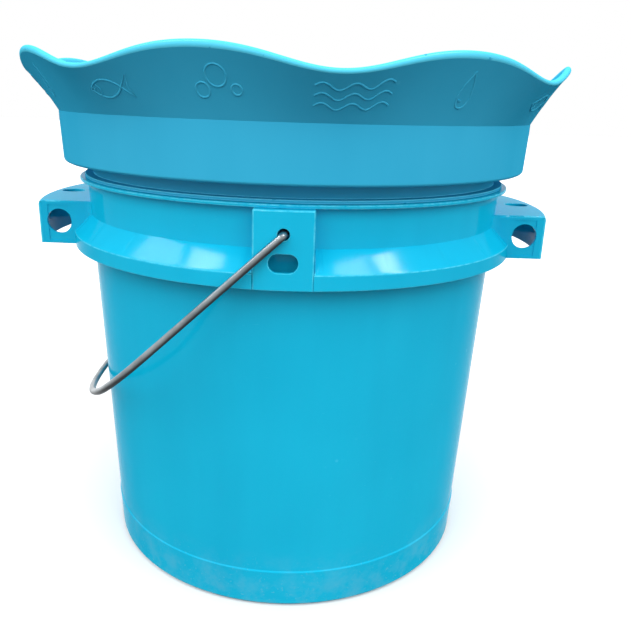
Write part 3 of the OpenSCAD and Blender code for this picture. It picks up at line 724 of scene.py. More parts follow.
class FinishShelf:
    """All finishes of the object, each built as a material on first use."""

    PAIL = MouldedPlastic(
        "pail_polyethylene", (0.005, 0.445, 0.675),
        deep=(0.003, 0.4, 0.625), rubbed_and_highlight=(0.11, 0.66, 0.83),
        roughness=0.11, scuffs=0.45, edge=0.55, dust=0.16, dust_top=0.045, waviness=0.0002,
        rib_marks=(0.2345, 0.2448), rim_light=0.005,
    )
    # on the collar the high edge amount paints a bright highlight along the rim's bead and every
    # rounding, beside some wear
    COLLAR = MouldedPlastic(
        "collar_polyethylene", (0.035, 0.4, 0.63),
        deep=(0.027, 0.365, 0.59), rubbed_and_highlight=(0.085, 0.57, 0.78),
        roughness=0.24, scuffs=0.3, edge=8.0, waviness=0.0002,
    )
    BASKET = MouldedPlastic(
        "basket_polyethylene", (0.02, 0.4, 0.6),
        deep=(0.012, 0.34, 0.52), rubbed_and_highlight=(0.16, 0.62, 0.76),
        roughness=0.38, scuffs=0.3, edge=0.3, waviness=0.0001,
    )
    BLACK = MouldedPlastic(
        "black_polymer", (0.018, 0.019, 0.021),
        deep=(0.012, 0.013, 0.014), rubbed_and_highlight=(0.09, 0.09, 0.095),
        roughness=0.5, fine_grain=0.000012, scuffs=0.5, edge=0.6, waviness=0.00003,
    )
    CASE_REAR = MouldedPlastic(
        "charcoal_case", (0.04, 0.045, 0.05), deep=(0.03, 0.034, 0.038), rubbed_and_highlight=(0.14, 0.15, 0.16),
        roughness=0.46, fine_grain=0.000014, scuffs=0.4, edge=0.6, waviness=0.00003,
    )
    CASE_FRONT = MouldedPlastic(
        "teal_case", (0.02, 0.24, 0.34), deep=(0.014, 0.2, 0.29), rubbed_and_highlight=(0.14, 0.45, 0.54),
        roughness=0.42, fine_grain=0.000012, scuffs=0.4, edge=0.55, waviness=0.00003,
    )
    CAP = MouldedPlastic(
        "blue_cap", (0.02, 0.1, 0.32), deep=(0.014, 0.08, 0.26), rubbed_and_highlight=(0.14, 0.26, 0.5),
        roughness=0.35, waviness=0.00003,
    )
    WORKS = MouldedPlastic(
        "natural_acetal", (0.74, 0.72, 0.64), deep=(0.66, 0.63, 0.54), rubbed_and_highlight=(0.85, 0.84, 0.78),
        roughness=0.36, scuffs=0.2, waviness=0.00002,
    )
    SWITCH = MouldedPlastic(
        "red_knob", (0.6, 0.05, 0.02), deep=(0.5, 0.035, 0.015), rubbed_and_highlight=(0.72, 0.24, 0.18),
        roughness=0.35, scuffs=0.3, waviness=0.00002,
    )
    # the bail wire's underside carries painted shade
    BAIL = DrawnSteel(
        "bail_wire_steel", (0.33, 0.37, 0.39), tarnish=(0.18, 0.21, 0.23), roughness=0.33,
        rust_amount=0.2, painted_shade=0.93, line_depth=0.0, unevenness=0.03,
    )
    SCREW = DrawnSteel(
        "zinc_screw_steel", (0.62, 0.62, 0.64), tarnish=(0.42, 0.41, 0.38), roughness=0.28,
    )
    CONTACT = DrawnSteel(
        "nickel_spring", (0.68, 0.66, 0.6), tarnish=(0.5, 0.47, 0.4), roughness=0.22,
    )
    MOTOR = DrawnSteel(
        "pressed_motor_can", (0.52, 0.53, 0.55), tarnish=(0.4, 0.4, 0.4), roughness=0.3,
        line_stretch=(2.0, 90.0, 90.0),
    )
    RUBBER = SoftRubber("seal_rubber", (0.02, 0.02, 0.02))
    VINYL = ClearVinyl("clear_vinyl", (0.72, 0.84, 0.86))
    GRIT = SinteredGrit("sintered_stone", (0.36, 0.4, 0.45))
    CELL = CellJacket("cell_can", (0.03, 0.032, 0.035))

    def __init__(self) -> None:
        """Builds the shared groups; materials follow on first use."""
        self.groups = ShaderShelf()
        self.made: dict[str, bpy.types.Material] = {}

    def get(self, finish: Finish) -> bpy.types.Material:
        """Returns the finish's material, built once."""
        if finish.name not in self.made:
            self.made[finish.name] = finish.material(self.groups)
        return self.made[finish.name]


# ---------------------------------------------------------------- mesh tools


def near(value: float, other: float, reach: float = NEAR) -> bool:
    """Tells whether two lengths differ by less than a reach."""
    return abs(value - other) < reach


def link(data: bpy.types.ID, name: str) -> bpy.types.Object:
    """Makes an object at the origin and links it.

    Args:
        data: its mesh, camera or lamp.
        name: its name.

    Returns:
        The object.
    """
    piece = bpy.data.objects.new(name, data)
    bpy.context.scene.collection.objects.link(piece)
    return piece


def bake(piece: bpy.types.Object) -> bpy.types.Object:
    """Turns an object's modifiers into a plain mesh.

    Args:
        piece: the object.

    Returns:
        The same object with its evaluated mesh and no modifiers.
    """
    bpy.context.view_layer.update()
    graph = bpy.context.evaluated_depsgraph_get()
    mesh = bpy.data.meshes.new_from_object(
        piece.evaluated_get(graph), preserve_all_data_layers=True, depsgraph=graph
    )
    mesh.name = piece.name
    piece.modifiers.clear()
    old = piece.data
    piece.data = mesh
    bpy.data.meshes.remove(old)
    return piece


def even_shading(piece: bpy.types.Object) -> None:
    """Adds weighted normals, so flat faces stay flat between narrow roundings.

    Args:
        piece: the object that they are added to.
    """
    even = piece.modifiers.new("even_shading", "WEIGHTED_NORMAL")
    even.keep_sharp = True
    even.weight = 100


def mark_edges(mesh: bpy.types.Mesh, rounded_index: int) -> None:
    """Writes the edge attribute: 1 on the faces that a bevel made, and 0 elsewhere.

    Args:
        mesh: a baked mesh whose bevel faces have a material index of their own.
        rounded_index: that index; it is set back to 0.
    """
    marked = []
    for face in mesh.polygons:
        marked.append(float(face.material_index == rounded_index))
        face.material_index = 0
    layer = mesh.attributes.new(EDGE_ATTRIBUTE, "FLOAT", "FACE")
    layer.data.foreach_set("value", marked)


def part_ring_faces(work: bmesh.types.BMesh) -> None:
    """Cuts a mesh along the middle planes of its box, so that no face runs round a hole.

    Args:
        work: the mesh, changed in place.
    """
    corners = [vertex.co for vertex in work.verts]
    for axis in range(3):
        middle = Vector((0.0, 0.0, 0.0))
        middle[axis] = (min(c[axis] for c in corners) + max(c[axis] for c in corners)) / 2
        normal = Vector((0.0, 0.0, 0.0))
        normal[axis] = 1.0
        everything = work.verts[:] + work.edges[:] + work.faces[:]
        bmesh.ops.bisect_plane(work, geom=everything, dist=SAME, plane_co=middle, plane_no=normal)


def joined_nodes(nodes: Sequence[str]) -> bmesh.types.BMesh:
    """Joins CAD nodes and makes whole faces of their loose triangles.

    Args:
        nodes: the CAD nodes.

    Returns:
        The mesh, which the caller frees.
    """
    work = bmesh.new()
    for node in nodes:
        work.from_mesh(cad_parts[node].data)
    bmesh.ops.remove_doubles(work, verts=work.verts, dist=CAD_MERGE)
    everything = {"verts": work.verts, "edges": work.edges}
    bmesh.ops.dissolve_limit(work, angle_limit=FLAT, delimit=set(), **everything)
    part_ring_faces(work)
    return work


def rounded_copy(
    nodes: Sequence[str], name: str, radius: float,
    share: Callable[[Vector], float] | None = None, segments: int = 2,
) -> bpy.types.Object:
    """Copies CAD nodes into one mesh and rounds its sharp edges.

    Args:
        nodes: the CAD nodes that are copied.
        name: the new piece's name.
        radius: width of the widest rounding.
        share: gives the share of that width for an edge's middle, 0 where it stays sharp.
        segments: faces across a rounding.

    Returns:
        The new piece, still without a material.
    """
    mesh = bpy.data.meshes.new(name)
    work = joined_nodes(nodes)
    weight = work.edges.layers.float.new("bevel_weight_edge")
    for edge in work.edges:
        closed = len(edge.link_faces) == 2
        if closed and edge.calc_face_angle(0.0) < CORNER:
            continue
        wide = share((edge.verts[0].co + edge.verts[1].co) / 2) if share else 1.0
        if closed and wide:
            edge[weight] = wide
        else:
            edge.smooth = False
    for face in work.faces:
        face.smooth = True
        face.material_index = 0
    work.to_mesh(mesh)
    work.free()
    piece = link(mesh, name)
    mesh.materials.append(None)
    mesh.materials.append(None)
    bevel = piece.modifiers.new("rounding", "BEVEL")
    bevel.limit_method = "WEIGHT"
    bevel.width = radius
    bevel.segments = segments
    bevel.use_clamp_overlap = False
    bevel.loop_slide = False
    bevel.miter_outer = "MITER_ARC"
    bevel.material = 1
    even_shading(piece)
    bake(piece)
    mark_edges(piece.data, 1)
    piece.data.materials.clear()
    return piece


def arc(centre: Vector, start: Vector, end: Vector, steps: int) -> list[Vector]:
    """Finds points on an arc.

    Args:
        centre: its centre.
        start: from the centre to its first point.
        end: direction of its last point.
        steps: parts of the arc.

    Returns:
        The points, both ends with them.
    """
    sweep = start.angle_signed(end)
    points = []
    for step in range(steps + 1):
        spoke = start.copy()
        spoke.rotate(Matrix.Rotation(-sweep * step / steps, 2))
        points.append(centre + spoke)
    return points


def fillet(points: Outline, radii: dict[int, float], steps: int = 4) -> Outline:
    """Rounds chosen corners of a closed outline.

    Args:
        points: the outline's corners.
        radii: radius by corner number; the other corners stay sharp.
        steps: faces in each rounding.

    Returns:
        The outline with arcs in place of those corners.
    """
    longest = 0.45  # share of a side that one rounding takes at most
    out = []
    for number, here in enumerate(points):
        radius = radii.get(number, 0.0)
        if not radius:
            out.append(here)
            continue
        corner = Vector(here)
        back = Vector(points[number - 1]) - corner
        ahead = Vector(points[(number + 1) % len(points)]) - corner
        half = back.angle(ahead) / 2
        reach = min(radius / math.tan(half), longest * back.length, longest * ahead.length)
        middle = (back.normalized() + ahead.normalized()).normalized()
        centre = corner + middle * (reach * math.tan(half)) / math.sin(half)
        start = corner + back.normalized() * reach - centre
        end = corner + ahead.normalized() * reach - centre
        out += [tuple(point) for point in arc(centre, start, end, steps)]
    return out


def lathe(name: str, outline: Outline, steps: int) -> bpy.types.Mesh:
    """Revolves a closed outline about Z.

    Args:
        name: the mesh's name.
        outline: (radius, height) corners, anticlockwise with the radius to the right.
        steps: faces round the axis.

    Returns:
        The mesh.
    """
    mesh = bpy.data.meshes.new(name)
    count = len(outline)
    points = [
        (radius * math.cos(turn), radius * math.sin(turn), height)
        for turn in (FULL_TURN * i / steps for i in range(steps))
        for radius, height in outline
    ]
    faces = []
    for i in range(steps):
        here, there = i * count, (i + 1) % steps * count
        for k in range(count):
            after = (k + 1) % count
            faces.append((here + k, there + k, there + after, here + after))
    mesh.from_pydata(points, [], faces)
    mesh.shade_smooth()
    sides = [math.dist(outline[k], outline[(k + 1) % count]) for k in range(count)]
    rounded = [side < ROUNDED_WIDTH for side in sides]
    for face in mesh.polygons:
        face.material_index = int(rounded[face.index % count])
    mark_edges(mesh, 1)
    creased = []
    for k in range(count):
        back = Vector(outline[k]) - Vector(outline[k - 1])
        ahead = Vector(outline[(k + 1) % count]) - Vector(outline[k])
        creased.append(not rounded[k] and not rounded[k - 1] and back.angle(ahead) > CREASE)
    for edge in mesh.edges:
        first, second = (number % count for number in edge.vertices)
        edge.use_edge_sharp = first == second and creased[first]
    return mesh


def face_outwards(mesh: bpy.types.Mesh) -> None:
    """Merges a closed mesh's doubles and points its faces outwards.

    Args:
        mesh: the mesh, changed in place.
    """
    work = bmesh.new()
    work.from_mesh(mesh)
    bmesh.ops.remove_doubles(work, verts=work.verts, dist=SAME)
    bmesh.ops.recalc_face_normals(work, faces=work.faces)
    work.to_mesh(mesh)
    work.free()


# ---------------------------------------------------------------- geometry trees


class ShapeTree:
    """A Geometry Nodes tree with named inputs, run once on an object."""

    def __init__(self, name: str, inputs: dict[str, tuple[str, object]]) -> None:
        """Starts the tree.

        Args:
            name: the tree's name.
            inputs: kind and value of each input, by name.
        """
        self.tree = bpy.data.node_groups.new(name, "GeometryNodeTree")
        self.desk = NodeDesk(self.tree)
        self.desk.socket("Geometry", "Geometry", True)
        self.values = {}
        for label, (kind, value) in inputs.items():
            self.values[self.desk.socket(label, kind, True)] = value
        self.desk.socket("Geometry", "Geometry", False)
        self.given = self.desk.node("NodeGroupInput").outputs
        self.out = self.desk.node("NodeGroupOutput").inputs

    def end(self, geometry: Socket, material: bpy.types.Material) -> None:
        """Closes the tree with Realize Instances and Set Material.

        Args:
            geometry: what the tree has made.
            material: the finished piece's material.
        """
        desk = self.desk
        real = desk.node("GeometryNodeRealizeInstances", {"Geometry": geometry})
        paint = desk.node(
            "GeometryNodeSetMaterial",
            {"Geometry": real.outputs["Geometry"], "Material": material},
        )
        desk.feed(self.out["Geometry"], paint.outputs["Geometry"])

    def run(self, piece: bpy.types.Object) -> bpy.types.Object:
        """Runs the tree on an object and leaves the result as its plain mesh.

        Args:
            piece: the object.

        Returns:
            The same object.
        """
        modifier = piece.modifiers.new(self.tree.name, "NODES")
        modifier.node_group = self.tree
        for identifier, value in self.values.items():
            modifier[identifier] = value
        return bake(piece)


def sweep_wires(
    name: str, paths: Sequence[Sequence[Vector]], radius: float, sides: int,
    material: bpy.types.Material,
) -> bpy.types.Object:
    """Sweeps a round section along open paths.

    Args:
        name: the piece's name.
        paths: points of each path.
        radius: the section's radius.
        sides: corners of the section.
        material: the piece's material.

    Returns:
        The swept piece.
    """
    mesh = bpy.data.meshes.new(name)
    points, edges = [], []
    for path in paths:
        start = len(points)
        points.extend(path)
        edges.extend((start + i, start + i + 1) for i in range(len(path) - 1))
    mesh.from_pydata(points, edges, [])
    inputs = {"Radius": ("Float", radius), "Sides": ("Int", sides)}
    shape = ShapeTree(f"{name}_sweep", inputs)
    desk, given = shape.desk, shape.given
    curve = desk.node("GeometryNodeMeshToCurve", {"Mesh": given["Geometry"]})
    section = desk.node(
        "GeometryNodeCurvePrimitiveCircle",
        {"Resolution": given["Sides"], "Radius": given["Radius"]},
    )
    line, ring = curve.outputs["Curve"], section.outputs["Curve"]
    swept = desk.node(
        "GeometryNodeCurveToMesh", {"Curve": line, "Profile Curve": ring, "Fill Caps": True}
    )
    shape.end(swept.outputs["Mesh"], material)
    piece = shape.run(link(mesh, name))
    face_outwards(piece.data)
    piece.data.shade_smooth()
    return piece


def mm_points(points: Outline) -> Outline:
    """Turns points in millimetres into metres."""
    return [tuple(value * MM for value in point) for point in points]


def hand_over(
    piece: bpy.types.Object, body: Body, material: bpy.types.Material,
    nodes: Sequence[str] = (),
) -> None:
    """Gives a finished piece its material and body, and hides the nodes that it stands for.

    Args:
        piece: the finished piece.
        body: the body that it rides on.
        material: its material.
        nodes: the CAD nodes that it replaces.
    """
    piece.data.materials.clear()
    piece.data.materials.append(material)
    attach(piece, body.value)
    if nodes:
        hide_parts(*nodes)
    LOG.info("%s: %d faces on %s", piece.name, len(piece.data.polygons), body.value)


def repeat(
    name: str, pattern: bpy.types.Object, places: Sequence[Vector], turn: Point,
    material: bpy.types.Material,
) -> bpy.types.Object:
    """Puts copies of a small piece at several places and removes the pattern.

    Args:
        name: the new piece's name.
        pattern: the piece that is copied, at the origin.
        places: where the copies go, in metres.
        turn: the copies' rotation, in radians.
        material: the piece's material.

    Returns:
        One piece of all copies.
    """
    mesh = bpy.data.meshes.new(name)
    mesh.from_pydata(places, [], [])
    shape = ShapeTree(f"{name}_rows", {"Pattern": ("Object", pattern), "Turn": ("Vector", turn)})
    desk = shape.desk
    source = desk.node("GeometryNodeObjectInfo", {"Object": shape.given["Pattern"]})
    euler = desk.node("FunctionNodeEulerToRotation")
    desk.feed(euler.inputs[0], shape.given["Turn"])
    copies = desk.node(
        "GeometryNodeInstanceOnPoints",
        {
            "Points": shape.given["Geometry"],
            "Instance": source.outputs["Geometry"],
            "Rotation": euler.outputs[0],
        },
    )
    shape.end(copies.outputs["Instances"], material)
    piece = shape.run(link(mesh, name))
    bpy.data.objects.remove(pattern)
    return piece


@dataclass(frozen=True)
class CrossHeadScrew:
    """A domed screw with a cross recess. Lengths are in millimetres."""

    head_r: float
    head_t: float
    shank_r: float
    length: float
    rim_share: float = 0.45
    tip_len: float = 0.8
    tip_share: float = 0.7
    slot_wide: float = 0.22
    slot_long: float = 0.68
    slot_deep: float = 0.5
    slot_taper: float = 0.6
    steps: int = 28

    def build(self) -> bpy.types.Object:
        """Builds the screw, its head's underside at the origin and facing +Z.

        Returns:
            The screw.
        """
        body = link(lathe("screw", mm_points(self.outline()), self.steps), "screw")
        face_outwards(body.data)
        cutter = link(self.recess(), "recess")
        cut = body.modifiers.new("recess", "BOOLEAN")
        cut.operation = "DIFFERENCE"
        cut.solver = "EXACT"
        cut.use_self = True
        cut.object = cutter
        bake(body)
        bpy.data.objects.remove(cutter)
        return body

    def outline(self) -> Outline:
        """Draws the closed half section of tip, shank and dome.

        Returns:
            The section, in millimetres.
        """
        dome = []
        for degrees in range(0, 90, 15):
            turn = math.radians(degrees)
            rise = self.rim_share + (1 - self.rim_share) * math.sin(turn)
            dome.append((self.head_r * math.cos(turn), self.head_t * rise))
        tip_r = self.shank_r * self.tip_share
        tip_z = -self.length
        tip = [(0, tip_z), (tip_r, tip_z), (self.shank_r, tip_z + self.tip_len)]
        return tip + [(self.shank_r, 0), (self.head_r, 0)] + dome + [(0, self.head_t)]

    def recess(self) -> bpy.types.Mesh:
        """Builds the tapered cross that is cut out of the head.

        Returns:
            The cross as a mesh.
        """
        work = bmesh.new()
        wide, long = self.slot_wide * self.head_r, self.slot_long * self.head_r
        for across, along in ((wide, long), (long, wide)):
            for vertex in bmesh.ops.create_cube(work, size=2 * MM)["verts"]:
                x, y, z = vertex.co
                taper = 1.0 if z > 0 else self.slot_taper
                deep = self.slot_deep * self.head_t
                vertex.co = (x * across * taper, y * along * taper, z * deep + self.head_t * MM)
        mesh = bpy.data.meshes.new("recess")
        work.to_mesh(mesh)
        work.free()
        return mesh


# ---------------------------------------------------------------- studio


@dataclass
class Studio:
    """Camera of the photographed view, floor, lamps and world."""

    bearing: float = 0.0331613
    yaw: float = 0.02328639
    pitch: float = 0.30724596
    roll: float = 0.03191595
    place: Point = (0.0, -0.507427, 0.322893)
    lens: float = 38.566
    shift: float = 0.01437
    key: float = 1.15
    key_angle: float = 50.0
    key_height: float = 40.0
    key_turn: float = 45.0
    key_reach: float = 2.5
    target: Point = (0.0, 0.0, 0.2)
    ambient: float = 1.3
    floor_colour: Colour = (0.84, 0.84, 0.84)
    floor_bounce: Colour = (0.09, 0.09, 0.09)
    floor_half: float = 8.0
    sensor: float = 36.0
    nearest: float = 0.01
    # place, width and height, and power of each pane
    panes: tuple[tuple[Point, tuple[float, float], float], ...] = (
        ((-0.73, -0.33, 1.5), (0.24, 0.5), 13.0),
        ((-1.3, 0.02, 1.5), (0.5, 0.5), 12.0),
        ((0.5, -0.41, 1.5), (0.28, 0.5), 9.0),
        ((0.83, -0.24, 1.5), (0.18, 0.5), 14.0),
        ((-0.45, -1.6, 1.2), (0.2, 0.9), 8.0),
    )

    def build(self) -> None:
        """Builds everything round the object."""
        bpy.context.scene.view_settings.view_transform = "Standard"
        self.camera()
        self.floor()
        self.lamps()
        self.world()

    def camera(self) -> None:
        """Places the camera of the photograph's view."""
        ahead, side = math.cos(self.yaw), math.sin(self.yaw)
        level_share = math.cos(self.pitch)
        forward = Vector((side * level_share, ahead * level_share, -math.sin(self.pitch)))
        level = Vector((ahead, -side, 0.0))
        upright = level.cross(forward)
        right = math.cos(self.roll) * level + math.sin(self.roll) * upright
        up = math.cos(self.roll) * upright - math.sin(self.roll) * level
        pose = Matrix((right, up, -forward)).transposed().to_4x4()
        pose.translation = Vector(self.place)
        lens = bpy.data.cameras.new("view")
        lens.lens = self.lens
        lens.sensor_width = self.sensor
        lens.shift_x = self.shift
        lens.clip_start = self.nearest
        camera = link(lens, "view")
        camera.matrix_world = Matrix.Rotation(self.bearing, 4, "Z") @ pose
        bpy.context.scene.camera = camera

    def floor(self) -> None:
        """Lays the floor, pale to the eye and darker to bounced light."""
        mesh = bpy.data.meshes.new("floor")
        half = self.floor_half
        corners = [(-half, -half, 0), (half, -half, 0), (half, half, 0), (-half, half, 0)]
        mesh.from_pydata(corners, [], [(0, 1, 2, 3)])
        floor = link(mesh, "floor")
        paint = bpy.data.materials.new("pale_floor")
        paint.use_nodes = True
        desk = NodeDesk(paint.node_tree)
        shader = shader_of(paint.node_tree, "BSDF_PRINCIPLED")
        bounced = desk.node("ShaderNodeLightPath").outputs["Is Diffuse Ray"]
        colour = desk.mix(bounced, self.floor_colour, self.floor_bounce)
        desk.feed(shader.inputs["Base Color"], colour)
        desk.feed(shader.inputs["Roughness"], 1.0)
        desk.feed(shader.inputs["Specular IOR Level"], 0.0)
        mesh.materials.append(paint)

    @staticmethod
    def hang(data: bpy.types.Light, place: Vector, aim: Vector) -> bpy.types.Object:
        """Hangs a lamp.

        Args:
            data: the lamp.
            place: where it hangs.
            aim: the direction that it lights.

        Returns:
            The lamp's object.
        """
        lamp = link(data, data.name)
        lamp.rotation_euler = aim.to_track_quat("-Z", "Y").to_euler()
        lamp.location = place
        return lamp

    def lamps(self) -> None:
        """Hangs two broad keys to the left and right, and panes that show only in gloss."""
        fall = math.radians(self.key_height)
        for name, side in (("left_key", -1), ("right_key", 1)):
            sun = bpy.data.lights.new(name, "SUN")
            sun.energy = self.key
            sun.angle = math.radians(self.key_angle)
            turn = math.radians(self.key_turn) * side
            level = math.cos(fall)
            aim = Vector((-math.sin(turn) * level, math.cos(turn) * level, -math.sin(fall)))
            self.hang(sun, -self.key_reach * aim, aim).visible_glossy = False
        for number, (place, size, power) in enumerate(self.panes):
            light = bpy.data.lights.new(f"pane_{number}", "AREA")
            light.shape = "RECTANGLE"
            light.size, light.size_y = size
            light.energy = power
            pane = self.hang(light, Vector(place), Vector(self.target) - Vector(place))
            pane.visible_diffuse = False
            pane.visible_camera = False

    def world(self) -> None:
        """Lights the world evenly, white wherever it is seen or mirrored."""
        sky = bpy.data.worlds.new("soft_world")
        bpy.context.scene.world = sky
        sky.use_nodes = True
        desk = NodeDesk(sky.node_tree)
        path = desk.node("ShaderNodeLightPath").outputs
        seen = desk.math("MAXIMUM", path["Is Camera Ray"], path["Is Glossy Ray"])
        seen = desk.math("MAXIMUM", seen, path["Is Transmission Ray"])
        shader = shader_of(sky.node_tree, "BACKGROUND")
        desk.feed(shader.inputs["Color"], desk.mix(seen, (self.ambient,) * 3, (1.0, 1.0, 1.0)))
        desk.feed(shader.inputs["Strength"], 1.0)


# ---------------------------------------------------------------- pail


@dataclass
class Pail:
    """The pail in one moulding: wall, floor, lip, carrying collar, ears and side sockets.

    Sizes are in millimetres.
    """

    finishes: FinishShelf
    foot_r: float = 135.0
    draft: float = 0.041
    wall_t: float = 2.4
    lip_r: float = 151.0
    lip_z: float = 270.3
    lip_t: float = 2.1
    foot_band_z: float = 28.0
    foot_proud: float = 0.5
    foot_rs: tuple[float, float, float] = (127.0, 128.5, 133.0)
    foot_edge_z: float = 2.5
    band_fade: float = 0.5
    recess_z: float = 3.0
    gate: tuple[float, float] = (5.0, 2.4)
    ring_rs: tuple[float, float] = (48.0, 96.0)
    ring_w: float = 3.0
    ring_z: float = 2.2
    ring_slope: float = 0.6
    knee_z: float = 14.0
    floor_z: float = 6.0
    floor_corner: tuple[float, float] = (4.5, 8.4)
    floor_inset: float = 8.5
    ear_half: float = 16.75
    socket_half: float = 53.0
    socket_t: float = 2.6
    socket_r: float = 179.0
    socket_z: float = 253.7
    ear_top_z: float = 268.2
    root_r: float = 157.0  # a cheek's edge inside this radius is a joint
    beyond: float = 100.0  # farther out than this is an ear or a socket
    ear_face_y: float = 150.0
    joint_gap: float = 0.3  # an edge this near to the wall is a joint
    fillet_r: float = 8.0
    fillet_steps: int = 10
    bury: float = 1.2  # how far a fillet runs on into the wall and the socket
    top_gap: float = 0.15  # from a fillet's top to the socket's
    upright: float = 0.2  # steepest share of a face that still counts as a wall
    crease: float = 30.0  # degrees from which a fillet's edge shades sharp
    wall_top_z: float = 245.5  # top of the slope round the carrying collar, at the wall
    slope_fall: float = 1.01  # its fall for each millimetre outwards
    corner_z: float = 233.8  # height of its outer corner
    steps: int = 288
    edge_r: float = 1.1
    small_edge: float = 0.38
    ear_edge: float = 0.85
    panel_x: tuple[float, float] = (148.6, 166.6)
    panel_z: tuple[float, float] = (226.4, 250.8)
    panel_step: float = 0.6  # depth from the cheek that takes in the panel

    def wall_r(self, height: float) -> float:
        """Returns the wall's outer radius at a height."""
        return self.foot_r + self.draft * height

    def build(self) -> None:
        """Builds the pail's pieces on its body."""
        paint = self.finishes.get(FinishShelf.PAIL)
        wall = link(lathe("pail_wall", self.outline(), self.steps), "pail_wall")
        face_outwards(wall.data)
        even_shading(wall)
        bake(wall)
        hand_over(wall, Body.PAIL, paint, ("bucket", "pail_floor"))
        mouldings = (
            ("carrying_collar",), ("front_ear",), ("back_ear",),
            ("left_socket", "left_socket_cheeks"), ("right_socket", "right_socket_cheeks"),
        )
        for nodes in mouldings:
            piece = rounded_copy(nodes, f"pail_{nodes[0]}", self.edge_r * MM, self.rounding, 3)
            hand_over(piece, Body.PAIL, paint, nodes)
        hand_over(self.corner_fillets(), Body.PAIL, paint)

    def outline(self) -> Outline:
        """Draws the closed half section of floor, foot, wall and lip.

        Returns:
            The section in metres, with its corners rounded.
        """
        band, base, slope = self.foot_band_z, self.recess_z, self.ring_slope
        under = self.lip_z - self.lip_t
        gate_r, gate_z = self.gate
        corners = [(0, gate_z), (gate_r, gate_z), (gate_r + slope, base)]
        for start in self.ring_rs:
            end = start + self.ring_w
            corners += [(start, base), (start + slope, self.ring_z)]
            corners += [(end - slope, self.ring_z), (end, base)]
        recess_r, inner_r, outer_r = self.foot_rs
        corner_in, corner_z = self.floor_corner
        corners += [
            (recess_r, base), (inner_r, 0), (outer_r, 0),
            (self.foot_r + self.foot_proud, self.foot_edge_z),
            (self.wall_r(band) + self.foot_proud, band - self.band_fade),
            (self.wall_r(band), band + self.band_fade),
            (self.wall_r(under), under), (self.lip_r, under), (self.lip_r, self.lip_z),
            (self.wall_r(self.lip_z) - self.wall_t, self.lip_z),
            (self.wall_r(self.knee_z) - self.wall_t, self.knee_z),
            (self.foot_r - corner_in, corner_z),
            (self.foot_r - self.floor_inset, self.floor_z), (0, self.floor_z),
        ]
        marks = {1: 0.5, 4: 0.4, 5: 0.4, 8: 0.4, 9: 0.4}
        foot = {12: 0.5, 13: 0.9, 14: 1.4}
        lip = {18: 0.5, 19: 0.8, 20: 0.7}
        floor = {21: 5.0, 22: 3.0, 23: 3.0}
        return mm_points(fillet(corners, marks | foot | lip | floor))

    def fillet_section(self) -> list[Vector]:
        """Draws a socket's fillet in plan.

        Returns:
            Its closed section: the hollow arc, and a corner buried in the socket and the wall.
        """
        inside_wall = 0.99
        wall, reach = self.wall_r(self.corner_z), self.fillet_r
        centre = Vector((0.0, -self.socket_half - reach))
        centre.x = math.sqrt((wall + reach) ** 2 - centre.y**2)
        hollow = arc(centre, Vector((0, reach)), -centre, self.fillet_steps)
        meeting_x = math.sqrt(wall**2 - self.socket_half**2)
        corner = Vector((meeting_x - self.bury, -self.socket_half + self.bury))
        return [Vector((hollow[0].x, corner.y)), *hollow, hollow[-1] * inside_wall, corner]

    def corner_fillets(self) -> bpy.types.Object:
        """Builds the hollow fillets that lead from the sockets' faces into the wall.

        Returns:
            One piece of all four.
        """
        section = self.fillet_section()
        wall, count = self.wall_r(self.corner_z), len(section)
        work = bmesh.new()
        for turn_x in (-1, 1):
            for turn_y in (-1, 1):
                rings = []
                for top in (False, True):
                    ring = []
                    for point in section:
                        fall = (point.length - wall) * self.slope_fall + self.bury
                        height = min(self.wall_top_z - fall, self.wall_top_z)
                        if top:
                            height = self.socket_z - self.top_gap
                        place = Vector((turn_x * point.x, turn_y * point.y, height))
                        ring.append(work.verts.new(place * MM))
                    work.faces.new(ring)
                    rings.append(ring)
                low, high = rings
                for k in range(count):
                    after = (k + 1) % count
                    work.faces.new((low[k], low[after], high[after], high[k]))
        bmesh.ops.recalc_face_normals(work, faces=work.faces)
        mesh = bpy.data.meshes.new("socket_fillets")
        work.to_mesh(mesh)
        work.free()
        for face in mesh.polygons:
            face.use_smooth = abs(face.normal.z) < self.upright
        mesh.set_sharp_from_angle(angle=math.radians(self.crease))
        return link(mesh, "socket_fillets")

    def at_cross_hole(self, across: float, height: float) -> bool:
        """Tells whether a place on a cheek is on the cross hole or the panel round it."""
        (left, right), (low, high) = self.panel_x, self.panel_z
        return left < across < right and low < height < high

    def rounding(self, middle: Vector) -> float:
        """Finds how wide the rounding of an edge is.

        Args:
            middle: the edge's middle, in metres.

        Returns:
            The share of the widest rounding, 0 at joints, along the wall and at the cross holes.
        """
        radius, height = math.hypot(middle.x, middle.y) / MM, middle.z / MM
        across, along = abs(middle.x) / MM, abs(middle.y) / MM
        on_ear = along > self.beyond
        at_ear_side = on_ear and near(across, self.ear_half)
        on_socket = across > self.beyond
        at_socket = on_socket and along > self.socket_half - self.socket_t - NEAR
        on_cheek = near(along, self.socket_half)
        core_r, core_z = self.socket_r - self.socket_t, self.socket_z - self.socket_t
        under_top = near(height, core_z) and radius < core_r + 2 * NEAR
        sharp = (
            near(radius, self.wall_r(height), self.joint_gap),
            at_ear_side and height < self.corner_z,
            at_socket and (near(radius, core_r, 2 * NEAR) or under_top),
            on_socket and on_cheek and radius < self.root_r,
            along > self.socket_half - self.panel_step and self.at_cross_hole(across, height),
        )
        if any(sharp):
            return 0.0
        on_rim = near(height, self.socket_z) or near(radius, self.socket_r, 2 * NEAR)
        if at_socket and on_cheek and on_rim:
            return 1.0
        on_ear_top = on_ear and across < self.ear_half + NEAR and near(height, self.ear_top_z)
        at_ear_face = at_ear_side and along > self.ear_face_y and height > self.corner_z
        return self.ear_edge if on_ear_top or at_ear_face else self.small_edge


# ---------------------------------------------------------------- bail


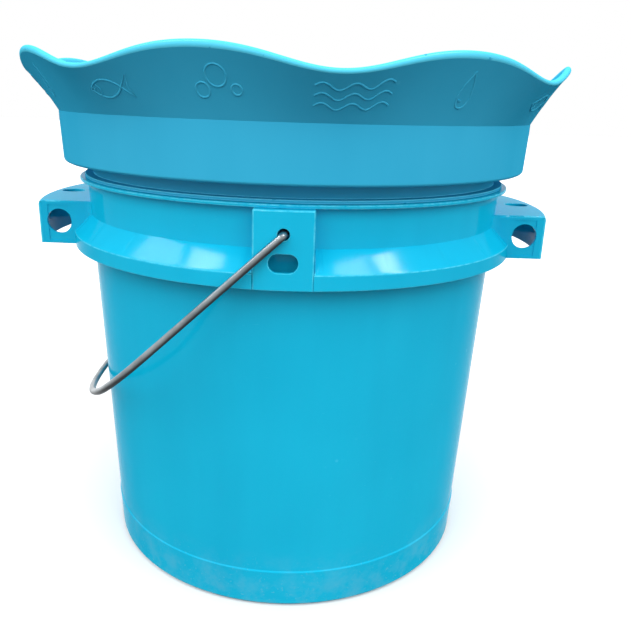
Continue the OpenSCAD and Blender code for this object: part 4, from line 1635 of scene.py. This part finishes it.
@dataclass
class Bail:
    """The wire bail, swept along its centreline. Sizes are in millimetres."""

    finishes: FinishShelf
    wire_r: float = 2.1
    pivot_z: float = 255.2
    drop: float = 43.0
    half_w: float = 159.6
    leg: float = 103.0
    bend_r: float = 60.0
    crown_r: float = 226.0
    pivot_bend_r: float = 3.0
    tail_len: float = 9.0
    tail_y: float = 149.6
    slope: tuple[float, float] = (-0.8, -0.6)
    sides: int = 24
    tail_steps: int = 8
    leg_steps: int = 10
    bend_steps: int = 16
    crown_steps: int = 28

    def build(self) -> None:
        """Builds the wire on its body."""
        paint = self.finishes.get(FinishShelf.BAIL)
        path, radius = self.centreline(), self.wire_r * MM
        wire = sweep_wires("bail_wire_rod", [path], radius, self.sides, paint)
        hand_over(wire, Body.BAIL, paint, ("bail_wire",))

    def centreline(self) -> list[Vector]:
        """Draws the wire's centreline from one tail to the other.

        Returns:
            Its points, in metres.
        """
        small, side = self.pivot_bend_r, self.half_w
        slope = Vector(self.slope)
        bend = Vector((-self.leg, self.bend_r - side))
        crown = Vector((-self.leg - (self.bend_r - self.crown_r) * -slope.x, 0))
        tail, knee = Vector((small, -self.tail_y - small)), Vector((-small, small - side))
        legs = [-small - (self.leg - small) * i / self.leg_steps for i in range(1, self.leg_steps)]
        half = [Vector((self.tail_len, -self.tail_y))]
        half += arc(tail, Vector((0, small)), Vector((-1, 0)), self.tail_steps)
        half += arc(knee, Vector((small, 0)), Vector((0, -1)), self.tail_steps)
        half += [Vector((x, -side)) for x in legs]
        half += arc(bend, Vector((0, -self.bend_r)), slope, self.bend_steps)
        half += arc(crown, slope * self.crown_r, Vector((-1, 0)), self.crown_steps)[1:]
        flat = half + [Vector((point.x, -point.y)) for point in reversed(half[:-1])]
        fall = math.radians(self.drop)
        return [
            Vector((x * math.cos(fall), y, self.pivot_z + x * math.sin(fall))) * MM
            for x, y in flat
        ]


# ---------------------------------------------------------------- splash collar


def circle(across: float, up: float, radius: float, steps: int = 28) -> Outline:
    """Returns a circle about a middle, drawn once round."""
    turns = (FULL_TURN * i / steps for i in range(steps + 1))
    return [(across + radius * math.cos(turn), up + radius * math.sin(turn)) for turn in turns]


def fish_lines() -> list[Outline]:
    """Draws a fish.

    Returns:
        Its back, belly, tail, gill and eye.
    """
    half, rise, belly_share, steps = 11, 6.2, 0.9, 20
    back = [
        (-half + 2 * half * i / steps, rise * math.sin(math.pi * i / steps) ** 0.8)
        for i in range(steps + 1)
    ]
    belly = [(x, -belly_share * y) for x, y in back]
    tail = [(half, 0), (17.5, 6.4), (15.2, 0), (17.5, -6.4), (half, 0)]
    gill = [(-5.5 + 1.4 * math.sin(math.pi * i / 8), -3.6 + 0.9 * i) for i in range(9)]
    return [back, belly, tail, gill, circle(-8, 1.3, 0.7)]


def bubble_lines() -> list[Outline]:
    """Returns three bubbles of unlike size."""
    return [circle(-8, -4, 3.6), circle(0, 3, 5.2), circle(9.5, -3, 2.6)]


def ripple_lines() -> list[Outline]:
    """Draws three ripples, one above the other.

    Returns:
        A line for each ripple.
    """
    half, rise, waves, steps = 19, 2.2, 2.5, 40
    ripple = [
        (-half + 2 * half * i / steps, rise * math.sin(FULL_TURN * i / steps * waves))
        for i in range(steps + 1)
    ]
    return [[(x, middle + y) for x, y in ripple] for middle in (6.5, 0.0, -6.5)]


def drop_lines() -> list[Outline]:
    """Draws a drop of water.

    Returns:
        Its edge and a short shine line.
    """
    half_w, half_h, point, steps = 6.0, 9.0, 1.4, 32
    edge = []
    for i in range(steps + 1):
        turn = FULL_TURN * i / steps
        across = half_w * math.sin(turn) * math.sin(turn / 2) ** point
        edge.append((across, half_h * math.cos(turn)))
    shine = [(-2.6 + 0.3 * i, -4.6 - 1.2 * math.sin(i * 0.6)) for i in range(6)]
    return [edge, shine]


class Motif(Enum):
    """Small raised drawings on the collar's flare, in millimetres from their middle."""

    FISH = "fish"
    BUBBLES = "bubbles"
    RIPPLES = "ripples"
    DROP = "drop"

    def lines(self) -> list[Outline]:
        """Returns the lines of the drawing."""
        makers = {
            Motif.FISH: fish_lines, Motif.BUBBLES: bubble_lines,
            Motif.RIPPLES: ripple_lines, Motif.DROP: drop_lines,
        }
        return makers[self]()


@dataclass
class SplashCollar:
    """The collar in the pail's mouth, with a wavy flared rim. Sizes are in millimetres."""

    finishes: FinishShelf
    neck_r: float = 141.8
    neck_t: float = 2.6
    neck_z: float = 246.0
    ledge_r: float = 133.0
    ledge_t: float = 2.4
    bead_r: float = 147.6
    bead_z: float = 270.4
    bead_t: float = 2.0
    shelf_z: float = 280.7
    band_r: float = 161.2
    band_top_z: float = 314.3
    root_drop: float = 2.0
    band_stop: float = 6.0
    outer_lean: float = 1.2
    inner_lean: float = 1.0
    flare_step: float = 0.05
    wall_t: float = 2.8
    rim_r: float = 181.5
    rim_z: float = 343.0
    wave_h: float = 5.4
    wave_count: int = 8
    wave_bearing: float = -14.2
    wave_swell: float = 0.2
    rim_bead_r: float = 2.0
    rim_bead_arc: tuple[int, int, int] = (-38, 212, 12)  # degrees: first, end and step
    flare_part: float = 0.1  # of the flare's length, from one corner to the next
    outer_parts: int = 9  # corners outside, up to where the rim's bead takes over
    inner_parts: int = 10
    straight: float = 0.93
    outer_bow: float = 0.18
    inner_bow: float = 0.07
    steps: int = 384
    motif_line: float = 0.75
    motif_sides: int = 8
    motif_sink: float = 0.48  # how far a line's middle lies under the flare's face
    motif_wear_and_highlight: float = 0.03  # the lines' edge attribute, next to 1 on an edge; it pales them as wear and as a painted highlight
    motifs: tuple[tuple[Motif, float], ...] = (
        (Motif.FISH, -33.0), (Motif.BUBBLES, -11.0), (Motif.RIPPLES, 11.0), (Motif.DROP, 32.0),
    )

    @property
    def root_z(self) -> float:
        """Height where the flare starts."""
        return self.band_top_z - self.root_drop

    def build(self) -> None:
        """Builds the collar and its raised drawings on their body."""
        paint = self.finishes.get(FinishShelf.COLLAR)
        shell = link(lathe("collar_shell", self.outline(), self.steps), "collar_shell")
        face_outwards(shell.data)
        self.wave(paint).run(shell)
        even_shading(shell)
        bake(shell)
        hand_over(shell, Body.COLLAR, paint, ("splash_collar", "collar_neck"))
        paths = []
        for quarter in range(4):
            for kind, bearing in self.motifs:
                paths += self.drawing(kind, bearing + 90 * quarter)
        line_r = self.motif_line * MM
        raised = sweep_wires("collar_drawings", paths, line_r, self.motif_sides, paint)
        # the drawings' edge attribute pales them: some wear and a painted highlight
        rubbed_and_highlight = raised.data.attributes.new(EDGE_ATTRIBUTE, "FLOAT", "FACE")
        rubbed_and_highlight.data.foreach_set("value", [self.motif_wear_and_highlight] * len(raised.data.polygons))
        hand_over(raised, Body.COLLAR, paint)

    def outline(self) -> Outline:
        """Draws the closed half section of neck, shelf, band and flare at its mean height.

        Returns:
            The section in metres, with its corners rounded.
        """
        neck, ledge, thick = self.neck_r, self.ledge_r, self.wall_t
        throat, ledge_z = neck - self.neck_t, self.neck_z + self.ledge_t
        stop_z, band_z = self.bead_z + self.bead_t, self.root_z - self.band_stop
        corners = [
            (ledge, self.neck_z), (neck, self.neck_z), (neck, self.bead_z),
            (self.bead_r, self.bead_z), (self.bead_r, stop_z), (neck, stop_z),
            (neck, self.shelf_z), (self.band_r - self.outer_lean, self.shelf_z),
            (self.band_r - self.flare_step, band_z),
        ]
        part = self.flare_part
        flare = [self.flare(part * i, self.outer_bow) for i in range(self.outer_parts)]
        bead = self.rim_bead_r
        for degrees in range(*self.rim_bead_arc):
            turn = math.radians(degrees)
            out, up = bead * math.cos(turn), bead * math.sin(turn)
            flare.append((self.rim_r - bead + out, self.rim_z - bead + up))
        parts = reversed(range(self.inner_parts))
        inner = [self.flare(part * i, self.inner_bow) for i in parts]
        flare += [(radius - thick, height) for radius, height in inner]
        back = [
            (self.band_r - thick, band_z),
            (self.band_r - self.inner_lean - thick, self.shelf_z + thick),
            (throat, self.shelf_z + thick), (throat, ledge_z), (ledge, ledge_z),
        ]
        last = len(corners) + len(flare)
        front_radii = {0: 0.4, 1: 0.8, 3: 0.5, 4: 0.5, 5: 0.4, 6: 0.8, 7: 2.2}
        back_radii = {last + 1: 1.2, last + 2: 1.4, last + 3: 0.6, last + 4: 0.4}
        return mm_points(fillet(corners + flare + back, front_radii | back_radii, 5))

    def flare(self, along: float, bow: float) -> tuple[float, float]:
        """Finds a place on the flare.

        Args:
            along: share of the flare's length.
            bow: how much the flare bends outwards.

        Returns:
            Its radius and its mean height.
        """
        reach = along * (self.straight + bow * along)
        radius = self.band_r + (self.rim_r - self.band_r) * reach
        return radius, self.root_z + along * (self.rim_z - self.root_z)

    def wave(self, material: bpy.types.Material) -> ShapeTree:
        """Builds the tree that waves the rim.

        Args:
            material: the collar's material.

        Returns:
            The tree, ready to run.
        """
        shape = ShapeTree(
            "rim_wave",
            {
                "Root": ("Float", self.root_z * MM),
                "Rim": ("Float", self.rim_z * MM),
                "Height": ("Float", self.wave_h * MM),
                "Count": ("Int", self.wave_count),
                "Swell": ("Float", self.wave_swell),
                "Crest": ("Float", math.radians(self.wave_bearing)),
            },
        )
        desk, given = shape.desk, shape.given
        place = desk.parts(desk.node("GeometryNodeInputPosition").outputs[0])
        bearing = desk.math("ARCTAN2", place["X"], desk.math("MULTIPLY", place["Y"], -1.0))
        turned = desk.math("SUBTRACT", bearing, given["Crest"])
        phase = desk.math("MULTIPLY", turned, given["Count"])
        share = desk.span(place["Z"], given["Root"], given["Rim"])
        slant = desk.math("SINE", phase)
        swell = desk.math("MULTIPLY", desk.math("MULTIPLY", slant, slant), given["Swell"])
        lift = desk.math("ADD", desk.math("COSINE", phase), swell)
        lift = desk.math("MULTIPLY", desk.math("MULTIPLY", lift, given["Height"]), share)
        moved = desk.node(
            "GeometryNodeSetPosition",
            {"Geometry": given["Geometry"], "Offset": desk.vector(0.0, 0.0, lift)},
        )
        shape.end(moved.outputs["Geometry"], material)
        return shape

    def on_flare(self, bearing: float, up: float) -> Vector:
        """Finds a place just under the flare's outside face.

        Args:
            bearing: from the front towards +X, in degrees.
            up: height above the flare's middle, along its slope, in millimetres.

        Returns:
            The place, in metres.
        """
        length = math.hypot(self.rim_r - self.band_r, self.rim_z - self.root_z)
        share = 0.5 + up / length
        radius, height = self.flare(share, self.outer_bow)
        turn = math.radians(bearing)
        phase = self.wave_count * (turn - math.radians(self.wave_bearing))
        swell = self.wave_swell * math.sin(phase) ** 2
        height += share * self.wave_h * (math.cos(phase) + swell)
        radius -= self.motif_sink
        return Vector((radius * math.sin(turn), -radius * math.cos(turn), height)) * MM

    def drawing(self, kind: Motif, bearing: float) -> list[list[Vector]]:
        """Puts one raised drawing on the flare.

        Args:
            kind: which drawing.
            bearing: the drawing's middle, in degrees.

        Returns:
            The paths of its lines, in metres.
        """
        per_mm = math.degrees(2 / (self.band_r + self.rim_r))
        return [
            [self.on_flare(bearing + across * per_mm, up) for across, up in line]
            for line in kind.lines()
        ]


# ---------------------------------------------------------------- basket and air line


@dataclass(frozen=True)
class Trim:
    """How one CAD node is dressed: its finish, slot and edge rounding in millimetres."""

    node: str
    finish: Finish
    slot: str
    edge_r: float = 0.3


def dress(trims: Sequence[Trim], body: Body, finishes: FinishShelf) -> None:
    """Rounds and finishes CAD nodes that ride on one body.

    Args:
        trims: how each node is dressed.
        body: the body.
        finishes: the object's finishes.
    """
    for trim in trims:
        piece = rounded_copy((trim.node,), f"{trim.node}_piece", trim.edge_r * MM)
        hand_over(piece, body, finishes.get(trim.finish), (trim.node,))


@dataclass
class Basket:
    """The slotted lift-out basket and what is screwed to it. Sizes are in millimetres."""

    finishes: FinishShelf
    foot_r: float = 118.0
    top_r: float = 132.0
    foot_z: float = 62.0
    top_z: float = 248.6
    screw_x: float = 10.0
    screw_z: float = 215.0
    screw_head_r: float = 3.2
    screw_head_t: float = 2.2
    screw_shank_r: float = 1.5
    screw_proud: float = 0.6
    screw_tip_y: float = 118.0

    @property
    def wall_r(self) -> float:
        """Outside radius of the basket's wall at the bracket's screws."""
        share = (self.screw_z - self.foot_z) / (self.top_z - self.foot_z)
        return self.foot_r + (self.top_r - self.foot_r) * share

    def build(self) -> None:
        """Builds the basket, the pump's bracket and the air line on the basket's body."""
        trims = (
            Trim("bait_basket", FinishShelf.BASKET, "basket_plastic", 0.4),
            Trim("pump_bracket", FinishShelf.BLACK, "black_plastic", 0.5),
            Trim("air_tube", FinishShelf.VINYL, "tube_vinyl", 0.15),
            Trim("tube_clips", FinishShelf.BASKET, "basket_plastic", 0.3),
            Trim("tube_elbow", FinishShelf.BLACK, "black_plastic", 0.3),
            Trim("stone_cap", FinishShelf.CAP, "cap_plastic", 0.4),
            Trim("air_stone", FinishShelf.GRIT, "stone_grit", 0.8),
            Trim("stone_saddle", FinishShelf.BLACK, "black_plastic", 0.4),
        )
        dress(trims, Body.BASKET, self.finishes)
        steel = self.finishes.get(FinishShelf.SCREW)
        seat_y = math.sqrt(self.wall_r**2 - self.screw_x**2) + self.screw_proud
        places = [Vector((x, seat_y, self.screw_z)) * MM for x in (-self.screw_x, self.screw_x)]
        length = seat_y - self.screw_tip_y
        screw = CrossHeadScrew(self.screw_head_r, self.screw_head_t, self.screw_shank_r, length)
        screws = repeat("bracket_screw_pair", screw.build(), places, FROM_BEHIND, steel)
        hand_over(screws, Body.BASKET, steel, ("bracket_screws",))


# ---------------------------------------------------------------- air pump


@dataclass
class AirPump:
    """The battery air pump with its works. Sizes are in millimetres."""

    finishes: FinishShelf
    screw_places: tuple[tuple[float, float], ...] = ((-28, 222), (-28, 317), (28, 222), (28, 317))
    screw_seat_y: float = 108.0
    screw_tip_y: float = 78.0
    screw_head_r: float = 2.6
    screw_head_t: float = 1.5
    screw_shank_r: float = 1.4
    spring_x: float = 13.6
    spring_y: float = 88.6
    spring_z: float = 258.7
    spring_radii: tuple[float, float] = (6.0, 3.0)
    spring_rise: float = 2.8
    spring_turns: int = 3
    spring_wire: float = 0.4
    spring_steps: int = 28
    spring_sides: int = 10

    def screws(self) -> None:
        """Puts the four case screws in from the back."""
        steel = self.finishes.get(FinishShelf.SCREW)
        places = [Vector((x, self.screw_seat_y, z)) * MM for x, z in self.screw_places]
        length = self.screw_seat_y - self.screw_tip_y
        screw = CrossHeadScrew(self.screw_head_r, self.screw_head_t, self.screw_shank_r, length)
        screws = repeat("case_screw_set", screw.build(), places, FROM_BEHIND, steel)
        hand_over(screws, Body.PUMP, steel, ("case_screws",))

    def springs(self) -> None:
        """Winds the two tapered contact springs."""
        metal = self.finishes.get(FinishShelf.CONTACT)
        wide, narrow = self.spring_radii
        steps = self.spring_steps * self.spring_turns
        paths = []
        for x in (-self.spring_x, self.spring_x):
            path = []
            for i in range(steps + 1):
                share = i / steps
                turn = FULL_TURN * self.spring_turns * share
                radius = wide + (narrow - wide) * share
                out, back = radius * math.cos(turn), radius * math.sin(turn)
                rise = self.spring_rise * share
                path.append(Vector((x + out, self.spring_y + back, self.spring_z + rise)) * MM)
            paths.append(path)
        wire_r = self.spring_wire * MM
        coils = sweep_wires("contact_coils", paths, wire_r, self.spring_sides, metal)
        hand_over(coils, Body.PUMP, metal, ("contact_springs",))

    def build(self) -> None:
        """Builds the pump's pieces, each on its own body."""
        case = (
            Trim("pump_rear_shell", FinishShelf.CASE_REAR, "case_rear", 0.5),
            Trim("pump_front_shell", FinishShelf.CASE_FRONT, "case_front", 0.5),
            Trim("case_gasket", FinishShelf.RUBBER, "seal_rubber", 0.15),
            Trim("belt_clip", FinishShelf.BLACK, "black_plastic", 0.4),
            Trim("door_hinge_pin", FinishShelf.SCREW, "screw_steel", 0.2),
            Trim("battery_cell_left", FinishShelf.CELL, "cell_jacket", 0.5),
            Trim("battery_cell_right", FinishShelf.CELL, "cell_jacket", 0.5),
            Trim("contact_strips", FinishShelf.CONTACT, "contact_metal", 0.15),
            Trim("pump_motor", FinishShelf.MOTOR, "motor_can", 0.4),
            Trim("diaphragm", FinishShelf.RUBBER, "seal_rubber", 0.2),
            Trim("valve_block", FinishShelf.WORKS, "works_plastic", 0.3),
        )
        dress(case, Body.PUMP, self.finishes)
        self.screws()
        self.springs()
        moving = (
            (Body.DOOR, Trim("battery_door", FinishShelf.BLACK, "black_plastic", 0.4)),
            (Body.CRANK, Trim("motor_crank", FinishShelf.WORKS, "works_plastic", 0.2)),
            (Body.ROD, Trim("connecting_rod", FinishShelf.WORKS, "works_plastic", 0.2)),
            (Body.SWITCH, Trim("switch_slider", FinishShelf.SWITCH, "switch_plastic", 0.3)),
        )
        for body, trim in moving:
            dress((trim,), body, self.finishes)


def main() -> None:
    """Builds the studio and the object's sub-assemblies in order."""
    logging.basicConfig(level=logging.INFO, format="%(name)s: %(message)s")
    finishes = FinishShelf()
    Studio().build()
    for assembly in (Pail, Bail, SplashCollar, Basket, AirPump):
        assembly(finishes).build()
    bpy.context.view_layer.update()


if __name__ == "__main__":
    main()
